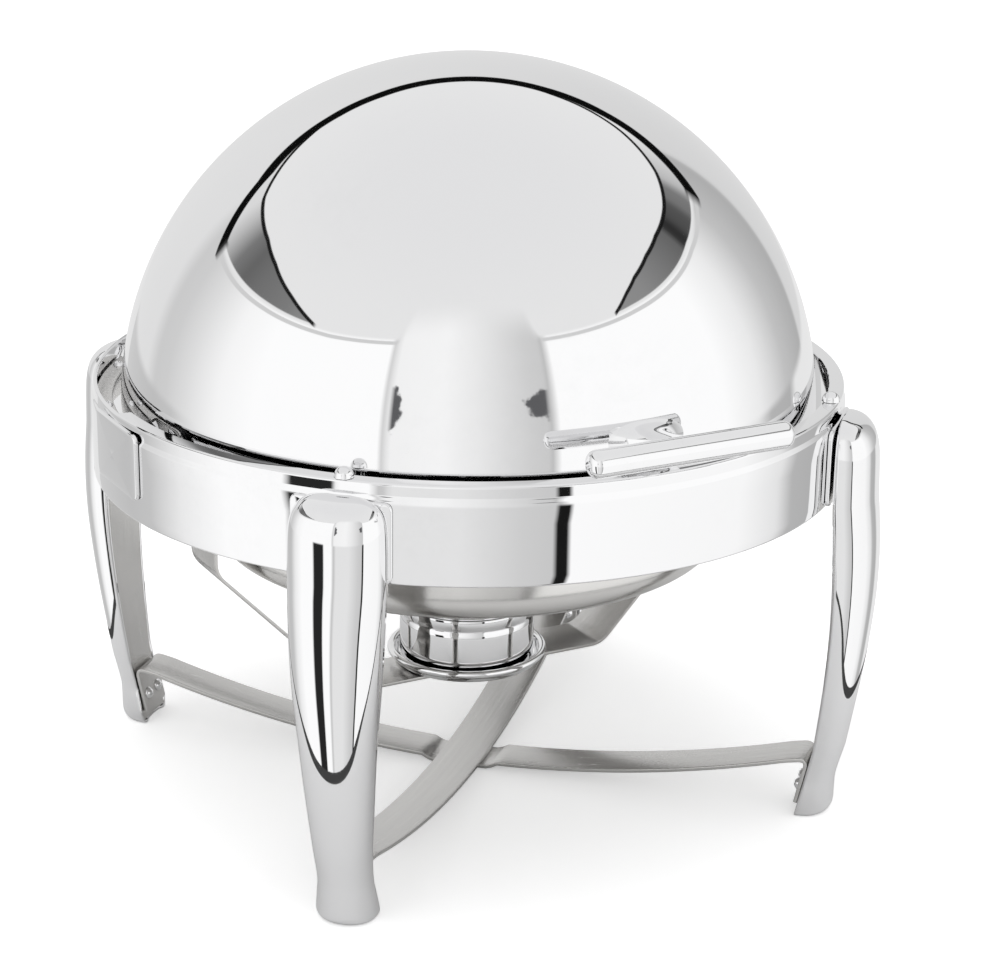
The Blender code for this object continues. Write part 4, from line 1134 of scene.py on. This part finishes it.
def studio_world():
    """Soft light tent: a round overhead scrim on a dark hoop, white walls to the left and right of
    the camera with a grey doorway between them, and duller cloth behind the object."""
    world = bpy.data.worlds.new("light_tent")
    world.use_nodes = True
    tree = world.node_tree
    tree.nodes.clear()
    w = Wiring(tree)
    azimuth, elevation = sky_angles(w)
    high_walls = ramp(w, azimuth, [
        (-180, 0.74), (-157, 0.74), (-150, 0.6), (-142, 0.62), (-130, 0.74), (-115, 0.93),
        (-100, 1.0), (-56, 1.0), (-54.5, 0.55), (-53, 0.9), (-36, 0.93), (-25, 0.83), (-8, 0.63),
        (-2.5, 0.6), (-1, 0.5), (1, 1.0), (62, 1.0), (80, 0.84), (97, 0.54), (108, 0.46),
        (115, 0.42), (117, 0.66), (150, 0.7), (180, 0.74),
    ])
    low_walls = ramp(w, azimuth, [
        (-180, 0.6), (-150, 0.52), (-138, 0.55), (-122, 0.84), (-104, 1.0), (-82, 1.0), (-81, 0.02),
        (-67, 0.02), (-66, 1.0), (-56, 1.0), (-53, 0.5), (-50, 0.78), (-30, 0.78), (-12, 0.62),
        (-2.6, 0.58), (-2.1, 0.01), (1.6, 0.01), (2.1, 0.98), (60, 0.95), (78, 0.78), (86, 0.46),
        (100, 0.43), (105, 0.8), (180, 0.75),
    ])
    walls = w.mixed(w.ranged(elevation, -7.0, -9.0), high_walls, low_walls)
    doorway = ramp(w, azimuth, [(-53.4, 0), (-53, 1), (-2.8, 1), (-2.4, 0)])
    for centre, reach in (((-53.0, 12.5), (4.2, 8.0)), ((-2.6, 14.5), (7.5, 5.5))):
        mark = soft_mark(w, azimuth, elevation, centre, reach)
        walls = w.mixed(w.math("MULTIPLY", mark, doorway), walls, (0.11, 0.11, 0.115, 1))

    # The scrim's lower edge, in hundredths of a degree, and how softly it meets the doorway.
    edge = ramp(w, azimuth, [
        (-180, 0.36), (-160, 0.32), (-145, 0.23), (-110, 0.27), (-80, 0.3), (-54, 0.335),
        (-50, 0.4), (-28, 0.43), (-5, 0.4), (-2, 0.35), (40, 0.338), (60, 0.328), (80, 0.317),
        (96, 0.296), (104, 0.285), (112, 0.31), (120, 0.33), (128, 0.35), (140, 0.365),
        (170, 0.37), (180, 0.36),
    ])
    softness = ramp(w, azimuth, [(-55, 0.006), (-50, 0.06), (-5, 0.06), (-1, 0.006)])
    above = w.math("SUBTRACT", elevation, w.math("MULTIPLY", edge, 100.0))
    blend = w.math("MULTIPLY", softness, 100.0)
    scrim = w.ranged(above, w.math("MULTIPLY", blend, -1.0), blend)
    low_scrim = (0.8, 0.8, 0.8, 1)
    high_scrim = (0.77, 0.77, 0.775, 1)
    sky = w.mixed(scrim, walls, w.mixed(w.ranged(elevation, 30.0, 75.0), low_scrim, high_scrim))

    hem = ramp(w, azimuth, [
        (-150, 0), (-147, 1), (-55, 1), (-54, 0), (-1, 0), (0, 1), (106, 1), (109, 0),
    ])
    line = w.math("MULTIPLY", w.ranged(above, -1.7, -1.4), w.ranged(above, -0.3, -0.6))
    sky = w.mixed(w.math("MULTIPLY", line, hem), sky, (0.62, 0.62, 0.62, 1))

    # Two folds of darker cloth hang over the edge, each under a thin black seam.
    fold_edge = ramp(w, azimuth, [
        (-172, 0.36), (-158, 0.35), (-150, 0.343), (-142, 0.35), (-130, 0.36), (-118, 0.354),
        (-102, 0.33), (-84, 0.292), (-82, 0.2), (28, 0.2), (30, 0.343), (40, 0.38), (48, 0.4),
        (60, 0.412), (72, 0.41), (88, 0.39), (104, 0.373), (120, 0.37), (136, 0.378), (150, 0.37),
    ])
    fold_shade = ramp(w, azimuth, [
        (-180, 0.75), (-150, 0.7), (-143, 0.5), (-134, 0.19), (-126, 0.13), (-118, 0.16),
        (-102, 0.2), (-90, 0.27), (32, 0.27), (48, 0.25), (64, 0.18), (76, 0.13), (79, 0.03),
        (82, 0.03), (85, 0.07), (91, 0.09), (94, 0.17), (99, 0.2), (103, 0.5), (112, 0.65),
        (120, 0.78), (180, 0.78),
    ])
    fold_top = w.math("MULTIPLY", fold_edge, 100.0)
    below_top = w.math("SUBTRACT", fold_top, elevation)
    in_fold = w.math("MULTIPLY", w.ranged(above, 0.7, 1.1), w.ranged(below_top, 0.0, 0.4))
    sky = w.mixed(in_fold, sky, fold_shade)
    hangs = w.ranged(w.math("ADD", above, below_top), 0.3, 1.0)
    seam = w.ranged(w.math("ABSOLUTE", below_top), 0.7, 0.35)
    sky = w.mixed(w.math("MULTIPLY", seam, hangs), sky, (0.01, 0.01, 0.01, 1))

    hoop = ramp(w, azimuth, [
        (-180, 1), (-145, 1), (-142, 0), (100, 0), (104, 1), (180, 1),
    ])
    band = w.math("MULTIPLY", w.ranged(above, -2.7, -2.1), w.ranged(above, 1.9, 1.3))
    sky = w.mixed(w.math("MULTIPLY", band, hoop), sky, (0.004, 0.004, 0.004, 1))
    back = w.node("ShaderNodeBackground")
    w.feed(back.inputs["Color"], sky)
    back.inputs["Strength"].default_value = 1.08
    out = w.node("ShaderNodeOutputWorld")
    tree.links.new(back.outputs[0], out.inputs[0])
    bpy.context.scene.world = world


def floor_finish(name, settings, mirrored):
    """Matt white laminate with a barely mottled surface.

    mirrored is the share of the floor's brightness that shows in the polished steel. It is below one
    because the floor is lifted to white around the object, and the steel shows it unlifted. A share
    near nought paints a dark reflection: the camera sees white floor there, and the steel shows a
    dark band.
    """
    made, shader, w = new_finish(name)
    place_on = w.node("ShaderNodeTexCoord").outputs["Object"]
    mottle = w.noise(place_on, 3.0, 4.0, 0.5)
    dim = tuple(v * 0.985 for v in settings.floor)
    near = w.mixed(mottle, (*settings.floor, 1), (*dim, 1))
    far = tuple(v * mirrored for v in settings.floor)
    ray = w.node("ShaderNodeLightPath").outputs
    # Glossy rays see the floor at the mirrored share, which on the rim paints a dark reflection into
    # the steel.
    w.feed(shader.inputs["Base Color"], w.mixed(ray["Is Glossy Ray"], near, (*far, 1)))
    shader.inputs["Emission Color"].default_value = (1, 1, 1, 1)
    w.feed(shader.inputs["Emission Strength"], w.math("MULTIPLY", ray["Is Camera Ray"], 0.42))
    shader.inputs["Roughness"].default_value = 0.9
    shader.inputs["Specular IOR Level"].default_value = 0.1
    return made


def flat_ring(name, inner, outer, finish):
    """A level ring or disc at height zero: (r cos t, r sin t, 0)."""
    t = np.linspace(0, 2 * np.pi, 96, endpoint=False)
    grid = polar(np.linspace(inner, outer, 6)[:, None], t, 0)
    mesh = bpy.data.meshes.new(name)
    faces = [face[::-1] for face in grid_faces(6, 96, close_columns=True)]
    mesh.from_pydata(grid.reshape(-1, 3).tolist(), [], faces)
    mesh.materials.append(finish)
    made = bpy.data.objects.new(name, mesh)
    bpy.context.scene.collection.objects.link(made)
    return made


def make_camera(settings):
    """A camera on a sphere about the hinge centre, aimed close to that centre."""
    data = bpy.data.cameras.new("studio_camera")
    data.lens = settings.lens
    data.sensor_fit = "HORIZONTAL"
    data.sensor_width = 36
    camera = bpy.data.objects.new("studio_camera", data)
    bpy.context.scene.collection.objects.link(camera)
    az, el = settings.camera_azimuth, settings.camera_height
    away = np.array([-math.sin(az) * math.cos(el), -math.cos(az) * math.cos(el), math.sin(el)])
    camera.location = HINGE + away * settings.camera_distance
    camera.rotation_euler = [math.radians(v) for v in CAMERA_TURN]
    bpy.context.scene.camera = camera


def make_lights():
    """One large overhead soft box, kept out of the reflections, that lights the floor."""
    data = bpy.data.lights.new("soft_box", "AREA")
    data.shape = "DISK"
    data.size = 2.6
    data.energy = 14
    lamp = bpy.data.objects.new("soft_box", data)
    bpy.context.scene.collection.objects.link(lamp)
    lamp.location = (-0.3, -0.2, 2.4)
    lamp.visible_glossy = False


class CHAFER_OT_lid(bpy.types.Operator):
    """Make the half-sphere lid and its handle"""

    bl_idname = "chafer.lid"
    bl_label = "Lid and Handle"

    def execute(self, context):
        size = context.scene.chafer_lid
        make_dome(size)
        make_handle(size)
        return {"FINISHED"}


class CHAFER_OT_ring(bpy.types.Operator):
    """Make the ring, its studs, the pads for the legs and the covers over the hinge axis"""

    bl_idname = "chafer.ring"
    bl_label = "Ring"

    def execute(self, context):
        size = context.scene.chafer_ring
        make_ring(size)
        make_studs(size)
        make_pads(size)
        return {"FINISHED"}


class CHAFER_OT_hinges(bpy.types.Operator):
    """Make the hinge plates, their screws, the pins and the bushes"""

    bl_idname = "chafer.hinges"
    bl_label = "Hinges"

    def execute(self, context):
        make_hinge("left", -1)
        make_hinge("right", 1)
        make_pivot("left")
        make_pivot("right")
        carry_over(["hinge_base_left", "hinge_base_right"], "bracket_satin")
        carry_over(["lid_rest_left", "lid_rest_right", "pan_frame"], "bracket_satin")
        return {"FINISHED"}


class CHAFER_OT_pans(bpy.types.Operator):
    """Make the water pan and the food pan"""

    bl_idname = "chafer.pans"
    bl_label = "Pans"

    def execute(self, context):
        make_pans(context.scene.chafer_pans)
        return {"FINISHED"}


class CHAFER_OT_burner(bpy.types.Operator):
    """Make the burner's strap, dish, fuel cup and cover"""

    bl_idname = "chafer.burner"
    bl_label = "Burner"

    def execute(self, context):
        make_burner(context.scene.chafer_burner)
        return {"FINISHED"}


class CHAFER_OT_legs(bpy.types.Operator):
    """Make the legs and the crossed straps between them"""

    bl_idname = "chafer.legs"
    bl_label = "Legs and Cross Straps"

    def execute(self, context):
        size = context.scene.chafer_legs
        make_legs(size)
        make_cross_straps(size)
        return {"FINISHED"}


class CHAFER_OT_studio(bpy.types.Operator):
    """Set up the floor, the light tent and the camera"""

    bl_idname = "chafer.studio"
    bl_label = "Studio"

    def execute(self, context):
        settings = context.scene.chafer_studio
        near, edge, far = FLOOR_EDGES
        white = floor_finish("floor_laminate", settings, 0.86)
        flat_ring("floor", 0.0005, near, white)
        # The rim is white to the camera, but its glossy share of 0.06 paints a dark reflection band
        # into the steel.
        flat_ring("floor_rim", near, edge, floor_finish("floor_edge", settings, 0.06))
        flat_ring("floor_beyond", edge, far, white).visible_glossy = False
        studio_world()
        make_lights()
        make_camera(settings)
        context.scene.view_settings.view_transform = "Standard"
        return {"FINISHED"}


class CHAFER_PT_panel(bpy.types.Panel):
    bl_idname = "CHAFER_PT_panel"
    bl_label = "Roll Top Chafer"
    bl_space_type = "VIEW_3D"
    bl_region_type = "UI"
    bl_category = "Chafer"

    def draw(self, context):
        for name, group in GROUPS.items():
            box = self.layout.box()
            box.label(text=group.__name__.replace("Chafer", ""))
            for key in group.__annotations__:
                box.prop(getattr(context.scene, name), key)
        for step in OPERATORS:
            self.layout.operator(step.bl_idname)


OPERATORS = (
    CHAFER_OT_lid,
    CHAFER_OT_ring,
    CHAFER_OT_hinges,
    CHAFER_OT_pans,
    CHAFER_OT_burner,
    CHAFER_OT_legs,
    CHAFER_OT_studio,
)


def register():
    for group in GROUPS.values():
        bpy.utils.register_class(group)
    for operator in OPERATORS:
        bpy.utils.register_class(operator)
    bpy.utils.register_class(CHAFER_PT_panel)
    for name, group in GROUPS.items():
        setattr(bpy.types.Scene, name, bpy.props.PointerProperty(type=group))


def unregister():
    for name in GROUPS:
        delattr(bpy.types.Scene, name)
    bpy.utils.unregister_class(CHAFER_PT_panel)
    for operator in reversed(OPERATORS):
        bpy.utils.unregister_class(operator)
    for group in reversed(GROUPS.values()):
        bpy.utils.unregister_class(group)


def main():
    register()
    bpy.ops.chafer.lid()
    bpy.ops.chafer.ring()
    bpy.ops.chafer.hinges()
    bpy.ops.chafer.pans()
    bpy.ops.chafer.burner()
    bpy.ops.chafer.legs()
    bpy.ops.chafer.studio()
    bpy.context.view_layer.update()


if __name__ == "__main__":
    main()
